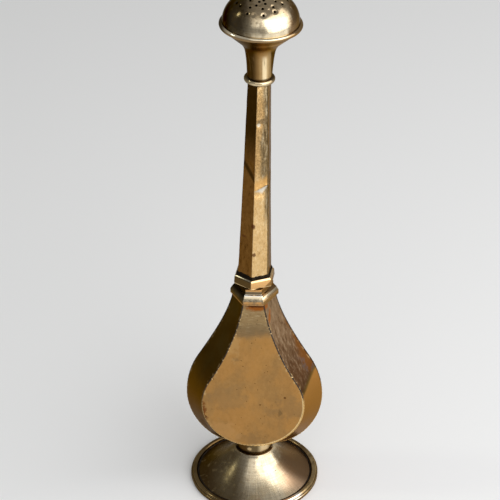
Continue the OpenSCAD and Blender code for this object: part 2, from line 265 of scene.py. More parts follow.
def mixed(tree, factor, a, b, kind="MIX"):
    node = add(tree, "ShaderNodeMix", data_type="RGBA", blend_type=kind)
    if isinstance(factor, (int, float)):
        node.inputs["Factor"].default_value = factor
    else:
        tree.links.new(factor, node.inputs["Factor"])
    for socket, value in ((node.inputs[6], a), (node.inputs[7], b)):
        if isinstance(value, (tuple, list)):
            socket.default_value = (*value, 1) if len(value) == 3 else value
        else:
            tree.links.new(value, socket)
    return node.outputs[2]


# %% [markdown]
# Tarnish comes in clouds: broad ones where hands wipe the brass less, and small ones inside them.
# Two noises of different size are multiplied, so that the small clouds only show inside the broad ones.

# %% Tarnish
tarnish, t_in, t_out = new_group("Cloudy tarnish",
    [("Vector", "NodeSocketVector", None), ("Clean", "NodeSocketColor", (0.4, 0.2, 0.06, 1)),
     ("Stained", "NodeSocketColor", (0.2, 0.09, 0.03, 1)), ("Size", "NodeSocketFloat", 40.0),
     ("Amount", "NodeSocketFloat", 0.5)],
    [("Color", "NodeSocketColor"), ("Mask", "NodeSocketFloat")])
broad = noise(tarnish, t_in.outputs["Vector"], t_in.outputs["Size"], 2.0)
small = noise(tarnish, t_in.outputs["Vector"], maths(tarnish, "MULTIPLY", t_in.outputs["Size"], 6.0), 4.0, 0.65)
cloud = maths(tarnish, "ADD", maths(tarnish, "MULTIPLY", spread(tarnish, broad, 0.35, 0.7), 0.65),
              maths(tarnish, "MULTIPLY", spread(tarnish, small, 0.35, 0.75), 0.35))
mask = maths(tarnish, "MULTIPLY", cloud, t_in.outputs["Amount"], clamp=True)
tarnish.links.new(mask, t_out.inputs["Mask"])
tarnish.links.new(mixed(tarnish, mask, t_in.outputs["Clean"], t_in.outputs["Stained"]), t_out.inputs["Color"])

# %% [markdown]
# Scratches are noise stretched into long thin threads and cut off sharply, so only a few are left.

# %% Scratches
scratches, s_in, s_out = new_group("Fine scratches",
    [("Vector", "NodeSocketVector", None), ("Fineness", "NodeSocketFloat", 600.0), ("Amount", "NodeSocketFloat", 0.5)],
    [("Height", "NodeSocketFloat"), ("Mask", "NodeSocketFloat")])
lines = []
for turn, share in (((0, 12, 0), 0.5), ((0, -38, 0), 0.3), ((0, 71, 0), 0.2)):
    along = stretched(scratches, s_in.outputs["Vector"], (1, 1, 0.04), turn)
    thread = noise(scratches, along, s_in.outputs["Fineness"], 2.0, 0.5)
    lines.append(maths(scratches, "MULTIPLY", spread(scratches, thread, 0.58, 0.72), share))
total = maths(scratches, "ADD", maths(scratches, "ADD", lines[0], lines[1]), lines[2])
worn = maths(scratches, "MULTIPLY", total, s_in.outputs["Amount"])
scratches.links.new(worn, s_out.inputs["Mask"])
scratches.links.new(maths(scratches, "SUBTRACT", 1.0, worn), s_out.inputs["Height"])

# %% [markdown]
# Pits are the small dark holes that corrosion leaves. Voronoi cells give one possible pit each,
# and a noise decides which of them are really there.

# %% Pits
pits, p_in, p_out = new_group("Small pits",
    [("Vector", "NodeSocketVector", None), ("Count", "NodeSocketFloat", 300.0), ("Radius", "NodeSocketFloat", 0.13),
     ("Rarity", "NodeSocketFloat", 0.55)],
    [("Mask", "NodeSocketFloat")])
cells = add(pits, "ShaderNodeTexVoronoi")
pits.links.new(p_in.outputs["Vector"], cells.inputs["Vector"])
pits.links.new(p_in.outputs["Count"], cells.inputs["Scale"])
chance = add(pits, "ShaderNodeSeparateColor")
pits.links.new(cells.outputs["Color"], chance.inputs[0])
there = maths(pits, "GREATER_THAN", chance.outputs[0], p_in.outputs["Rarity"])
spot = maths(pits, "LESS_THAN", cells.outputs["Distance"],
             maths(pits, "MULTIPLY", p_in.outputs["Radius"], chance.outputs[1]))
pits.links.new(maths(pits, "MULTIPLY", there, spot), p_out.inputs["Mask"])

# %% [markdown]
# A spun piece was pressed over a form while it turned. That leaves rings, which depend on the
# distance from the axis and on the height, and faint rays, which depend on the angle round it.

# %% Rings and rays
spun, r_in, r_out = new_group("Spinning marks",
    [("Vector", "NodeSocketVector", None), ("Rings", "NodeSocketFloat", 900.0), ("Rays", "NodeSocketFloat", 5.0)],
    [("Rings", "NodeSocketFloat"), ("Rays", "NodeSocketFloat")])
apart = add(spun, "ShaderNodeSeparateXYZ")
spun.links.new(r_in.outputs["Vector"], apart.inputs[0])
radius = maths(spun, "SQRT", maths(spun, "ADD", maths(spun, "POWER", apart.outputs[0], 2.0),
                                   maths(spun, "POWER", apart.outputs[1], 2.0)))
ring_place = add(spun, "ShaderNodeCombineXYZ")
spun.links.new(radius, ring_place.inputs[0])
spun.links.new(apart.outputs[2], ring_place.inputs[1])
spun.links.new(noise(spun, ring_place.outputs[0], r_in.outputs["Rings"], 3.0, 0.6), r_out.inputs["Rings"])
flat = add(spun, "ShaderNodeVectorMath", operation="NORMALIZE")
spun.links.new(stretched(spun, r_in.outputs["Vector"], (1, 1, 0)), flat.inputs[0])
spun.links.new(noise(spun, flat.outputs[0], r_in.outputs["Rays"], 4.0, 0.7), r_out.inputs["Rays"])


# %% [markdown]
# Some stains have a place of their own, such as the rust under the collar. This group measures how far
# a point is from that place, in units of the stain's size, and a noise makes the border ragged.

# %% A stain at one place
stain_spot, q_in, q_out = new_group("Stain at a place",
    [("Vector", "NodeSocketVector", None), ("Place", "NodeSocketVector", (0, 0, 0)),
     ("Size", "NodeSocketVector", (0.005, 0.005, 0.005)), ("Ragged", "NodeSocketFloat", 0.5),
     ("Grain", "NodeSocketFloat", 300.0)],
    [("Mask", "NodeSocketFloat")])
offset = add(stain_spot, "ShaderNodeVectorMath", operation="SUBTRACT")
stain_spot.links.new(q_in.outputs["Vector"], offset.inputs[0])
stain_spot.links.new(q_in.outputs["Place"], offset.inputs[1])
scaled = add(stain_spot, "ShaderNodeVectorMath", operation="DIVIDE")
stain_spot.links.new(offset.outputs[0], scaled.inputs[0])
stain_spot.links.new(q_in.outputs["Size"], scaled.inputs[1])
reach = add(stain_spot, "ShaderNodeVectorMath", operation="LENGTH")
stain_spot.links.new(scaled.outputs[0], reach.inputs[0])
rag = noise(stain_spot, q_in.outputs["Vector"], q_in.outputs["Grain"], 4.0, 0.7)
border = maths(stain_spot, "ADD", reach.outputs["Value"],
               maths(stain_spot, "MULTIPLY", maths(stain_spot, "SUBTRACT", rag, 0.5),
                     maths(stain_spot, "MULTIPLY", q_in.outputs["Ragged"], 4.0)))
stain_spot.links.new(spread(stain_spot, border, 1.25, 0.6), q_out.inputs["Mask"])

# %% [markdown]
# ## The brass
#
# One function builds every brass of this object from the shared effects, each with its own
# colours and amounts. Metallic is 1, because it is bare metal. The colour varies with the tarnish,
# and the roughness rises where it is stained and falls where it is rubbed.

# %% A brass with its own wear
def put_group(tree, group, vector, **values):
    node = add(tree, "ShaderNodeGroup")
    node.node_tree = group
    tree.links.new(vector, node.inputs["Vector"])
    for label, value in values.items():
        node.inputs[label].default_value = value
    return node


def old_brass(name, clean_tone, stained_tone, size=40.0, amount=0.6, rough=(0.28, 0.5), scratch=0.4,
              fineness=700.0, pit=0.75, pit_count=350.0, spun_marks=None, film=None, stains=(), extra=None,
              bump=0.02, axis=None, edge=(0.64, 0.6, 0.54)):
    material = bpy.data.materials.new(name)
    material.use_nodes = True
    tree = material.node_tree
    shader = tree.nodes["Principled BSDF"]
    shader.inputs["Metallic"].default_value = 1.0
    shader.inputs["Specular Tint"].default_value = (*edge, 1)
    where = add(tree, "ShaderNodeTexCoord").outputs["Object"]
    stain = put_group(tree, tarnish, where, Clean=(*clean_tone, 1), Stained=(*stained_tone, 1), Size=size,
                      Amount=amount)
    worn = put_group(tree, scratches, where, Fineness=fineness, Amount=scratch)
    pit_node = put_group(tree, pits, where, Count=pit_count, Rarity=pit)
    colour = stain.outputs["Color"]
    roughness = spread(tree, stain.outputs["Mask"], 0.0, 1.0, *rough)
    if film:
        tone, share, grain = film
        veil = maths(tree, "MULTIPLY", spread(tree, noise(tree, stretched(tree, where, (1, 1, 0.6), shift=(3, 1, 7)),
                                                          grain, 5.0, 0.6), 0.42, 0.66), share)
        colour = mixed(tree, veil, colour, tone)
        roughness = maths(tree, "ADD", roughness, maths(tree, "MULTIPLY", veil, 0.12))
    colour = mixed(tree, maths(tree, "MULTIPLY", worn.outputs["Mask"], 0.45), colour,
                   [min(1.0, c * 1.4 + 0.03) for c in clean_tone])
    height = worn.outputs["Height"]
    if spun_marks:
        rings, rays, share = spun_marks
        upright = stretched(tree, where, (1, 1, 1), *axis) if axis else where
        marks = put_group(tree, spun, upright, Rings=rings, Rays=rays)
        streak = spread(tree, marks.outputs["Rays"], 0.3, 0.7, 0.7, 1.22)
        colour = mixed(tree, share, colour, streak, "MULTIPLY")
        colour = mixed(tree, 0.35, colour, spread(tree, marks.outputs["Rings"], 0.34, 0.66, 0.62, 1.18), "MULTIPLY")
        height = maths(tree, "ADD", height, maths(tree, "MULTIPLY", marks.outputs["Rings"], 0.6))
    parts = {"tree": tree, "where": where, "colour": colour, "roughness": roughness, "height": height}
    if extra:
        extra(parts)
    for spot, reach, tone, share, ragged, grain in stains:
        mark = put_group(tree, stain_spot, where, Place=[c * mm for c in spot], Size=[c * mm for c in reach],
                         Ragged=ragged, Grain=grain)
        tint(parts, mark.outputs["Mask"], tone, share, 0.12)
    tint(parts, pit_node.outputs["Mask"], (0.03, 0.016, 0.007), 0.8)
    parts["height"] = maths(tree, "SUBTRACT", parts["height"], pit_node.outputs["Mask"])
    lift = add(tree, "ShaderNodeBump")
    lift.inputs["Strength"].default_value = 0.35
    lift.inputs["Distance"].default_value = bump * mm
    tree.links.new(parts["height"], lift.inputs["Height"])
    tree.links.new(lift.outputs["Normal"], shader.inputs["Normal"])
    tree.links.new(parts["colour"], shader.inputs["Base Color"])
    tree.links.new(parts["roughness"], shader.inputs["Roughness"])
    return material


def split(parts):
    """The three coordinates of the point that is shaded, in millimetres."""
    node = add(parts["tree"], "ShaderNodeSeparateXYZ")
    parts["tree"].links.new(stretched(parts["tree"], parts["where"], (1000, 1000, 1000)), node.inputs[0])
    return node.outputs


def tint(parts, mask, tone, share=1.0, rough=0.0, kind="MIX"):
    tree = parts["tree"]
    part = maths(tree, "MULTIPLY", mask, share, clamp=True)
    parts["colour"] = mixed(tree, part, parts["colour"], tone, kind)
    if rough:
        parts["roughness"] = maths(tree, "ADD", parts["roughness"], maths(tree, "MULTIPLY", part, rough))


def seam_wear(parts, dark=0.8, bright=0.5):
    """Darkens a sheet beside its seams and leaves scraped bright spots, by the distance kept in the mesh."""
    tree = parts["tree"]
    near = add(tree, "ShaderNodeAttribute", attribute_name="from_seam").outputs["Fac"]
    grain = noise(tree, parts["where"], 420.0, 3.0, 0.6)
    tint(parts, maths(tree, "MULTIPLY", spread(tree, near, 1.9, 0.5), spread(tree, grain, 0.52, 0.66)),
         (0.62, 0.43, 0.2), bright)
    tint(parts, spread(tree, maths(tree, "ADD", near, maths(tree, "MULTIPLY", grain, 0.8)), 0.95, 0.45),
         (0.045, 0.028, 0.012), dark, 0.15)


# %% [markdown]
# ### Front sheet
#
# The front is rubbed to an even golden brown, with greyish clouds. Its narrow top was scraped when the
# collar was soldered on, and rust came down from under the collar.

# %% Front sheet
rust, dark_rust = (0.34, 0.105, 0.016), (0.10, 0.032, 0.01)


def front_wear_and_highlight(parts):
    tree = parts["tree"]
    x, y, z = split(parts)
    cloud = noise(tree, parts["where"], 180.0, 4.0, 0.6)
    fine = noise(tree, stretched(tree, parts["where"], (1, 1, 0.7), (0, -35, 0)), 520.0, 6.0, 0.75)
    tint(parts, spread(tree, fine, 0.4, 0.7), (0.56, 0.31, 0.105), 0.28)
    tint(parts, spread(tree, fine, 0.44, 0.3), (0.26, 0.135, 0.05), 0.3)
    edge = maths(tree, "ADD", z, maths(tree, "MULTIPLY", cloud, 9.0))
    top = spread(tree, edge, 99.0, 107.0)
    across = noise(tree, stretched(tree, parts["where"], (0.16, 1, 1), (0, 7, 0)), 1900.0, 3.0, 0.6)
    tint(parts, top, (0.32, 0.225, 0.11), 0.85, 0.05)
    tint(parts, maths(tree, "MULTIPLY", top, spread(tree, across, 0.55, 0.66)), (0.55, 0.43, 0.25), 0.5)
    tint(parts, maths(tree, "MULTIPLY", top, spread(tree, across, 0.44, 0.34)), (0.17, 0.11, 0.05), 0.5)
    band = maths(tree, "MULTIPLY", spread(tree, edge, 100.0, 103.5), spread(tree, edge, 109.0, 105.0))
    tint(parts, band, (0.2, 0.135, 0.07), 0.55)
    seam_wear(parts, 0.55, 0.7)
    near = add(tree, "ShaderNodeAttribute", attribute_name="from_seam").outputs["Fac"]
    # A painted highlight along the lower right edge, partly rubbed bright brass.
    low = maths(tree, "MULTIPLY", spread(tree, z, 65.0, 60.0), spread(tree, x, -6.0, 10.0))
    tint(parts, maths(tree, "MULTIPLY", low, spread(tree, near, 0.95, 0.5)), (0.98, 0.72, 0.36), 1.0, -0.12)


front_brass = old_brass("Front sheet brass", (0.475, 0.245, 0.072), (0.375, 0.195, 0.062), size=45, amount=0.8,
    rough=(0.3, 0.4), scratch=0.22, fineness=500, pit=0.3, pit_count=400,
    film=((0.28, 0.175, 0.072), 0.5, 75.0), extra=front_wear_and_highlight,
    stains=[((1.6, -10, 113.2), (5.4, 4, 2.3), rust, 0.95, 0.34, 650), ((1.0, -10, 114.6), (6.5, 4, 1.7), dark_rust, 0.95, 0.3, 700),
            ((-25.8, -16, 51), (1.5, 4, 6), (0.17, 0.05, 0.01), 0.85, 0.75, 600), ((-25.4, -16, 47.6), (1.8, 4, 1.6), dark_rust, 0.9, 0.6, 800),
            ((16.5, -15.7, 61.5), (0.7, 3, 0.7), dark_rust, 0.8, 0.2, 900), ((3.7, -15.9, 56.7), (0.55, 3, 0.4), dark_rust, 0.8, 0.2, 900),
            ((-9, -14.5, 84), (2.0, 4, 1.2), (0.2, 0.13, 0.06), 0.4, 0.9, 400),
            ((18, -15.8, 54), (9, 5, 7), (0.23, 0.155, 0.075), 0.34, 0.9, 150),
            ((-14, -15.8, 60), (10, 5, 9), (0.26, 0.17, 0.08), 0.34, 0.9, 140),
            ((-2, -15.8, 34), (7, 5, 4), (0.22, 0.145, 0.07), 0.34, 0.9, 200),
            ((14, -15.8, 52), (1.2, 3, 2.2), (0.16, 0.1, 0.045), 0.5, 0.8, 500),
            ((-16, -15.8, 38), (9, 5, 7), (0.56, 0.32, 0.12), 0.45, 0.7, 200),
            ((-10.5, -14, 94), (3.5, 4, 9), (0.56, 0.35, 0.14), 0.4, 0.9, 300)])
back_brass = old_brass("Back sheet brass", (0.44, 0.25, 0.085), (0.26, 0.14, 0.05), size=45, amount=0.9,
    rough=(0.34, 0.46), scratch=0.3, film=((0.2, 0.15, 0.08), 0.5, 50.0), extra=seam_wear,
    stains=[((-12, 16, 70), (9, 6, 7), (0.2, 0.14, 0.07), 0.5, 0.5, 200), ((9, 15.8, 45), (5, 5, 3), rust, 0.45, 0.6, 400)])

# %% [markdown]
# ### Side sheets
#
# The left sheet is the darkest: a nearly even olive brown, partly tarnish and partly painted shade. The right one was
# cleaned once with a coarse pad, so it is silvery with steep strokes and rusty towards its outer corner. Its darker top
# and golden lower part are a painted reflection.

# %% Side sheets
def left_wear(parts):
    tree = parts["tree"]
    x, y, z = split(parts)
    tint(parts, spread(tree, z, 78.0, 46.0), (0.155, 0.07, 0.012), 0.9)
    seam_wear(parts, 0.7, 0.35)


def right_wear_and_reflection(parts):
    tree = parts["tree"]
    x, y, z = split(parts)
    # Painted reflection: the upper part of the sheet is darkened.
    tint(parts, spread(tree, z, 106.0, 76.0), (0.07, 0.028, 0.01), 0.88)
    strokes = noise(tree, stretched(tree, parts["where"], (1, 1, 0.1), (0, -24, 0)), 620.0, 5.0, 0.7)
    pale = maths(tree, "MULTIPLY", spread(tree, strokes, 0.49, 0.66), spread(tree, z, 66.0, 98.0, 0.35, 1.0))
    tint(parts, pale, (0.36, 0.255, 0.155), 0.6)
    tint(parts, spread(tree, strokes, 0.48, 0.34), (0.06, 0.028, 0.012), 0.7)
    clouds = noise(tree, parts["where"], 130.0, 5.0, 0.65)
    outer = maths(tree, "ADD", y, maths(tree, "MULTIPLY", maths(tree, "SUBTRACT", clouds, 0.5), 9.0))
    high = maths(tree, "MULTIPLY", spread(tree, z, 56.0, 66.0), spread(tree, z, 108.0, 96.0))
    reach = maths(tree, "SUBTRACT", outer, spread(tree, z, 94.0, 78.0, -2.2, -5.6))
    tint(parts, maths(tree, "MULTIPLY", spread(tree, reach, -0.6, 2.4), high), (0.15, 0.055, 0.012), 0.85, 0.1)
    bluish = maths(tree, "MULTIPLY", spread(tree, clouds, 0.54, 0.62), spread(tree, outer, -8.0, -4.0))
    tint(parts, maths(tree, "MULTIPLY", bluish, spread(tree, z, 84.0, 76.0)), (0.1, 0.083, 0.077), 0.65)
    # Painted reflection: below a slanting border the sheet is golden, with a darker line along the border.
    border = maths(tree, "SUBTRACT", z, maths(tree, "MULTIPLY", x, 1.6))
    low = maths(tree, "ADD", border, maths(tree, "MULTIPLY", maths(tree, "SUBTRACT", clouds, 0.5), 4.0))
    reflected_gold_below = spread(tree, low, 22.5, 20.0)
    line = maths(tree, "MULTIPLY", spread(tree, low, 19.0, 21.5), spread(tree, low, 25.0, 22.0))
    tint(parts, reflected_gold_below, (0.39, 0.185, 0.045), 0.95)
    tint(parts, line, (0.13, 0.08, 0.02), 0.6)
    seam_wear(parts, 0.85, 0.5)


# The left sheet's very dark colour is partly its olive brown tarnish and partly painted shade.
left_brass = old_brass("Dark side sheet brass", (0.066, 0.033, 0.005), (0.038, 0.018, 0.002), size=40, amount=0.8,
    rough=(0.3, 0.42), scratch=0.3, film=((0.06, 0.042, 0.013), 0.4, 70.0), extra=left_wear, edge=(0.56, 0.5, 0.44),
    stains=[((-27, -9, 38), (3, 5, 5), (0.09, 0.04, 0.008), 0.5, 0.5, 300)])
right_brass = old_brass("Streaky side sheet brass", (0.27, 0.18, 0.1), (0.15, 0.08, 0.038), size=55, amount=0.8,
    rough=(0.3, 0.44), scratch=0.35, extra=right_wear_and_reflection, edge=(0.58, 0.52, 0.45),
    stains=[((8.1, -8.9, 107.5), (0.6, 3, 4.6), rust, 0.75, 0.5, 600), ((6.3, -9.8, 113.2), (1.6, 3, 1.7), rust, 0.85, 0.5, 600)])
side_brass = old_brass("Back side sheet brass", (0.36, 0.2, 0.07), (0.16, 0.085, 0.03), size=45, amount=0.85,
    rough=(0.32, 0.46), scratch=0.35, film=((0.2, 0.13, 0.07), 0.5, 60.0), extra=seam_wear)

# %% [markdown]
# ### Foot, rose and castings
#
# These are paler, nearly silvery, because they are handled and wiped most. The marks of the
# lathe show as faint rays from the axis.

# %% Foot, rose and castings
def foot_wear_and_shade(parts):
    tree = parts["tree"]
    x, y, z = split(parts)
    grain = noise(tree, parts["where"], 330.0, 5.0, 0.7)
    aside = maths(tree, "ADD", x, maths(tree, "MULTIPLY", maths(tree, "SUBTRACT", grain, 0.5), 9.0))
    # Painted reflection: pinkish brown on the right, and darker golden brown higher up on the right, under the belly.
    tint(parts, maths(tree, "MULTIPLY", spread(tree, aside, 11.0, 19.0), spread(tree, y, -27.0, -12.0)),
         (0.58, 0.33, 0.19), 0.6)
    tint(parts, maths(tree, "MULTIPLY", spread(tree, aside, 8.0, 15.0), spread(tree, y, -14.0, -6.0)),
         (0.13, 0.066, 0.023), 0.78, 0.08)
    # Painted shade: the left side of the cone is darkened, most at the far left.
    tint(parts, spread(tree, aside, 3.5, -10.0), (0.072, 0.045, 0.014), 0.9, 0.05)
    tint(parts, spread(tree, x, -13.0, -26.0), (0.05, 0.024, 0.004), 0.85)
    tint(parts, maths(tree, "MULTIPLY", spread(tree, grain, 0.53, 0.63), spread(tree, x, 10.0, -6.0)),
         (0.1, 0.062, 0.022), 0.45)
    tint(parts, maths(tree, "MULTIPLY", spread(tree, grain, 0.45, 0.36), spread(tree, x, 8.0, -4.0)),
         (0.42, 0.31, 0.15), 0.3)


def rim_wear_and_light(parts):
    tree = parts["tree"]
    x, y, z = split(parts)
    grain = noise(tree, parts["where"], 240.0, 4.0, 0.65)
    tint(parts, spread(tree, z, 2.2, 1.3), (0.2, 0.105, 0.03), 0.85)
    # Painted shade on the left and at the back of the rim.
    tint(parts, spread(tree, maths(tree, "ADD", x, maths(tree, "MULTIPLY", grain, 12.0)), 18.0, -4.0),
         (0.085, 0.052, 0.018), 0.8)
    tint(parts, spread(tree, y, 6.0, 20.0), (0.12, 0.07, 0.025), 0.7)
    tint(parts, spread(tree, grain, 0.52, 0.64), (0.12, 0.085, 0.04), 0.5, 0.08)
    # A painted highlight on the bead at the front right.
    azimuth = maths(tree, "ARCTAN2", x, maths(tree, "MULTIPLY", y, -1.0))
    bead_highlight = maths(tree, "MULTIPLY", spread(tree, azimuth, 0.38, 0.5), spread(tree, azimuth, 0.95, 0.8))
    tint(parts, maths(tree, "MULTIPLY", bead_highlight, spread(tree, z, 1.6, 2.1)), (0.92, 0.83, 0.7), 0.85, -0.1)


def collar_light_shade_and_wear(parts):
    """Painted light over filed brass: slopes silvery and faces golden brown as painted reflections, painted highlights
    along some edges, and painted shade on the left of the corner that faces front and under the neck collar.
    """
    tree = parts["tree"]
    x, y, z = split(parts)
    grain = noise(tree, parts["where"], 500.0, 4.0, 0.7)
    upper = spread(tree, z, 123.4, 123.6)
    azimuth = maths(tree, "ARCTAN2", x, maths(tree, "MULTIPLY", y, -1.0))
    corner = spread(tree, z, 123.4, 123.6, -0.4, -0.115)
    left = spread(tree, maths(tree, "SUBTRACT", azimuth, corner), 0.02, -0.02)
    right = maths(tree, "MULTIPLY", spread(tree, azimuth, 0.385, 0.415), spread(tree, upper, 0.6, 0.4))
    # Painted reflection: the upright faces are golden brown, the slopes stay silvery.
    faces = maths(tree, "ADD", spread(tree, z, 118.0, 117.8),
                  maths(tree, "MULTIPLY", spread(tree, z, 122.2, 122.5), spread(tree, z, 127.9, 127.6)))
    tint(parts, faces, (0.56, 0.27, 0.07), 0.88, 0.04)
    tint(parts, upper, (0.95, 0.58, 0.24), 0.45)
    tint(parts, maths(tree, "MULTIPLY", spread(tree, grain, 0.36, 0.6), spread(tree, z, 119.9, 118.8)),
         (0.2, 0.155, 0.095), 0.75, 0.1)
    # Painted shade under the neck collar.
    tint(parts, maths(tree, "MULTIPLY", spread(tree, z, 120.8, 121.0), spread(tree, z, 122.5, 122.2)),
         (0.085, 0.053, 0.024), 0.88)
    # Painted reflection: darker brown on the right slope and face.
    tint(parts, maths(tree, "MULTIPLY", right, spread(tree, z, 119.6, 119.9)), (0.17, 0.085, 0.024), 0.92)
    tint(parts, maths(tree, "MULTIPLY", right, spread(tree, z, 119.0, 118.4)), (0.3, 0.17, 0.06), 0.8)
    # Painted reflection: the neck collar's face right of the front corner is golden brown.
    beyond = maths(tree, "SUBTRACT", maths(tree, "SUBTRACT", x, 5.4),
                   maths(tree, "MULTIPLY", maths(tree, "SUBTRACT", z, 124.3), 1.09))
    tint(parts, maths(tree, "MULTIPLY", upper, spread(tree, beyond, -0.1, 0.25)), (0.22, 0.115, 0.034), 0.85)
    tint(parts, maths(tree, "MULTIPLY", spread(tree, z, 116.6, 116.4), spread(tree, z, 116.1, 116.3)), (0.2, 0.09, 0.02), 0.6)
    # Painted shade on the left of the corner that faces front, nearly black on the slope.
    tint(parts, left, (0.05, 0.03, 0.008), 0.92)
    tint(parts, maths(tree, "MULTIPLY", left, maths(tree, "MULTIPLY", spread(tree, z, 118.4, 120.3), spread(tree, upper, 0.6, 0.4))),
         (0.008, 0.004, 0.001), 0.93)
    # A painted highlight along the neck collar's top edge on the left.
    tint(parts, maths(tree, "MULTIPLY", left, spread(tree, z, 127.95, 128.15)), (0.4, 0.35, 0.25), 0.55)
    # Painted reflection: an orange line along the lower edge on the left.
    tint(parts, maths(tree, "MULTIPLY", left, spread(tree, z, 116.3, 116.0)), (0.6, 0.28, 0.075), 0.85)
    # A painted highlight along the slope's upper edge, between left and right.
    middle = spread(tree, maths(tree, "ADD", left, right), 0.6, 0.4)
    tint(parts, maths(tree, "MULTIPLY", spread(tree, z, 120.1, 120.4), maths(tree, "MULTIPLY", spread(tree, z, 120.9, 120.75), middle)),
         (0.97, 0.93, 0.86), 0.9)
    # A painted highlight along the neck collar's lower edge.
    tint(parts, maths(tree, "MULTIPLY", spread(tree, z, 124.5, 124.15), upper), (0.98, 0.74, 0.4), 0.92)
    # Painted shade on the top face under the neck collar.
    tint(parts, maths(tree, "MULTIPLY", spread(tree, z, 123.36, 123.42), spread(tree, z, 123.57, 123.53)), (0.04, 0.024, 0.01), 0.95)


def ring_wear_and_shade(parts):
    tree = parts["tree"]
    x, y, z = split(parts)
    level = maths(tree, "ADD", z, maths(tree, "MULTIPLY", x, 0.022))
    # Painted shade on the left of the ring.
    tint(parts, spread(tree, x, 0.5, -3.5), (0.14, 0.1, 0.045), 0.8)
    tint(parts, spread(tree, x, 5.0, 9.0), (0.18, 0.12, 0.06), 0.7)
    tint(parts, spread(tree, level, 236.4, 235.8), (0.05, 0.03, 0.012), 0.8, 0.1)
    tint(parts, spread(tree, level, 237.7, 238.3), (0.05, 0.03, 0.012), 0.8, 0.1)


foot_brass = old_brass("Spun foot brass", (0.8, 0.69, 0.5), (0.5, 0.38, 0.21), size=60, amount=0.65,
    spun_marks=(1500.0, 24.0, 0.6), rough=(0.2, 0.34), film=((0.34, 0.24, 0.12), 0.4, 90.0), extra=foot_wear_and_shade,
    pit_count=420, edge=(0.56, 0.5, 0.42))
rim_brass = old_brass("Foot rim brass", (0.5, 0.36, 0.18), (0.26, 0.165, 0.07), size=90, amount=0.8,
    rough=(0.16, 0.3), film=((0.18, 0.115, 0.05), 0.5, 160.0), extra=rim_wear_and_light, scratch=0.25, edge=(0.56, 0.5, 0.42))
cast_brass = old_brass("Filed cast brass", (0.78, 0.66, 0.46), (0.55, 0.42, 0.24), size=140, amount=0.6,
    rough=(0.14, 0.26), film=((0.36, 0.26, 0.14), 0.35, 260.0), extra=collar_light_shade_and_wear, scratch=0.2, edge=(0.62, 0.54, 0.44))
ring_brass = old_brass("Ring brass", (0.74, 0.6, 0.38), (0.45, 0.32, 0.16), size=140, amount=0.6, rough=(0.14, 0.26),
    extra=ring_wear_and_shade, scratch=0.2, edge=(0.56, 0.5, 0.42))


def knop_light_and_shade(parts):
    """Painted reflection and shade: pale on the right, dark brown on the left and at the right edge, and painted shade
    in a band at the bottom.
    """
    tree = parts["tree"]
    x, y, z = split(parts)
    tint(parts, spread(tree, x, 5.0, 1.5), (0.1, 0.064, 0.024), 0.93)
    tint(parts, spread(tree, x, -1.5, -4.5), (0.075, 0.036, 0.008), 0.92)
    tint(parts, spread(tree, x, 6.6, 8.8), (0.16, 0.08, 0.02), 0.85)
    tint(parts, spread(tree, z, 21.4, 20.0), (0.06, 0.03, 0.009), 0.88, 0.1)


knop_brass = old_brass("Knop brass", (0.86, 0.66, 0.38), (0.6, 0.42, 0.2), size=120, amount=0.6,
    rough=(0.18, 0.32), extra=knop_light_and_shade, scratch=0.3, edge=(0.56, 0.5, 0.42),
    # A small painted highlight left of the middle.
    stains=[((-2.1, -9, 22.4), (1.1, 2, 0.9), (0.7, 0.5, 0.26), 0.75, 0.3, 700)])


def rose_wear_and_light(parts):
    tree = parts["tree"]
    x, y, z = split(parts)
    mottle = noise(tree, parts["where"], 210.0, 5.0, 0.7)
    aside = maths(tree, "ADD", x, maths(tree, "MULTIPLY", maths(tree, "SUBTRACT", mottle, 0.5), 8.0))
    # Painted reflection: the top of the dome is darker brown.
    tint(parts, spread(tree, z, 272.5, 277.0), (0.25, 0.155, 0.065), 0.55)
    # Painted shade on the left of the dome, nearly black at its edge.
    tint(parts, spread(tree, aside, 2.6, -6.0), (0.034, 0.02, 0.005), 0.93, -0.06)
    tint(parts, spread(tree, x, -7.5, -13.5), (0.01, 0.004, 0.001), 0.94)
    tint(parts, maths(tree, "MULTIPLY", spread(tree, mottle, 0.52, 0.6), spread(tree, x, 8.0, 1.0)),
         (0.1, 0.066, 0.025), 0.55, 0.06)
    # Painted reflection: a warm brown band down the right edge.
    streaks = noise(tree, stretched(tree, parts["where"], (1, 1, 0.3), (0, 25, 0)), 330.0, 4.0, 0.7)
    right = maths(tree, "ADD", x, maths(tree, "MULTIPLY", maths(tree, "SUBTRACT", streaks, 0.5), 7.0))
    tint(parts, spread(tree, right, 14.5, 18.5), (0.13, 0.062, 0.016), 0.88, 0.05)


rose_brass = old_brass("Rose brass", (0.78, 0.67, 0.48), (0.52, 0.4, 0.23), size=75, amount=0.65,
    spun_marks=(1800.0, 9.0, 0.35), rough=(0.17, 0.31), film=((0.32, 0.24, 0.13), 0.45, 130.0), extra=rose_wear_and_light,
    axis=((0, -1.25, 0), (0.0027, 0, 0)), pit_count=420, edge=(0.5, 0.44, 0.36))


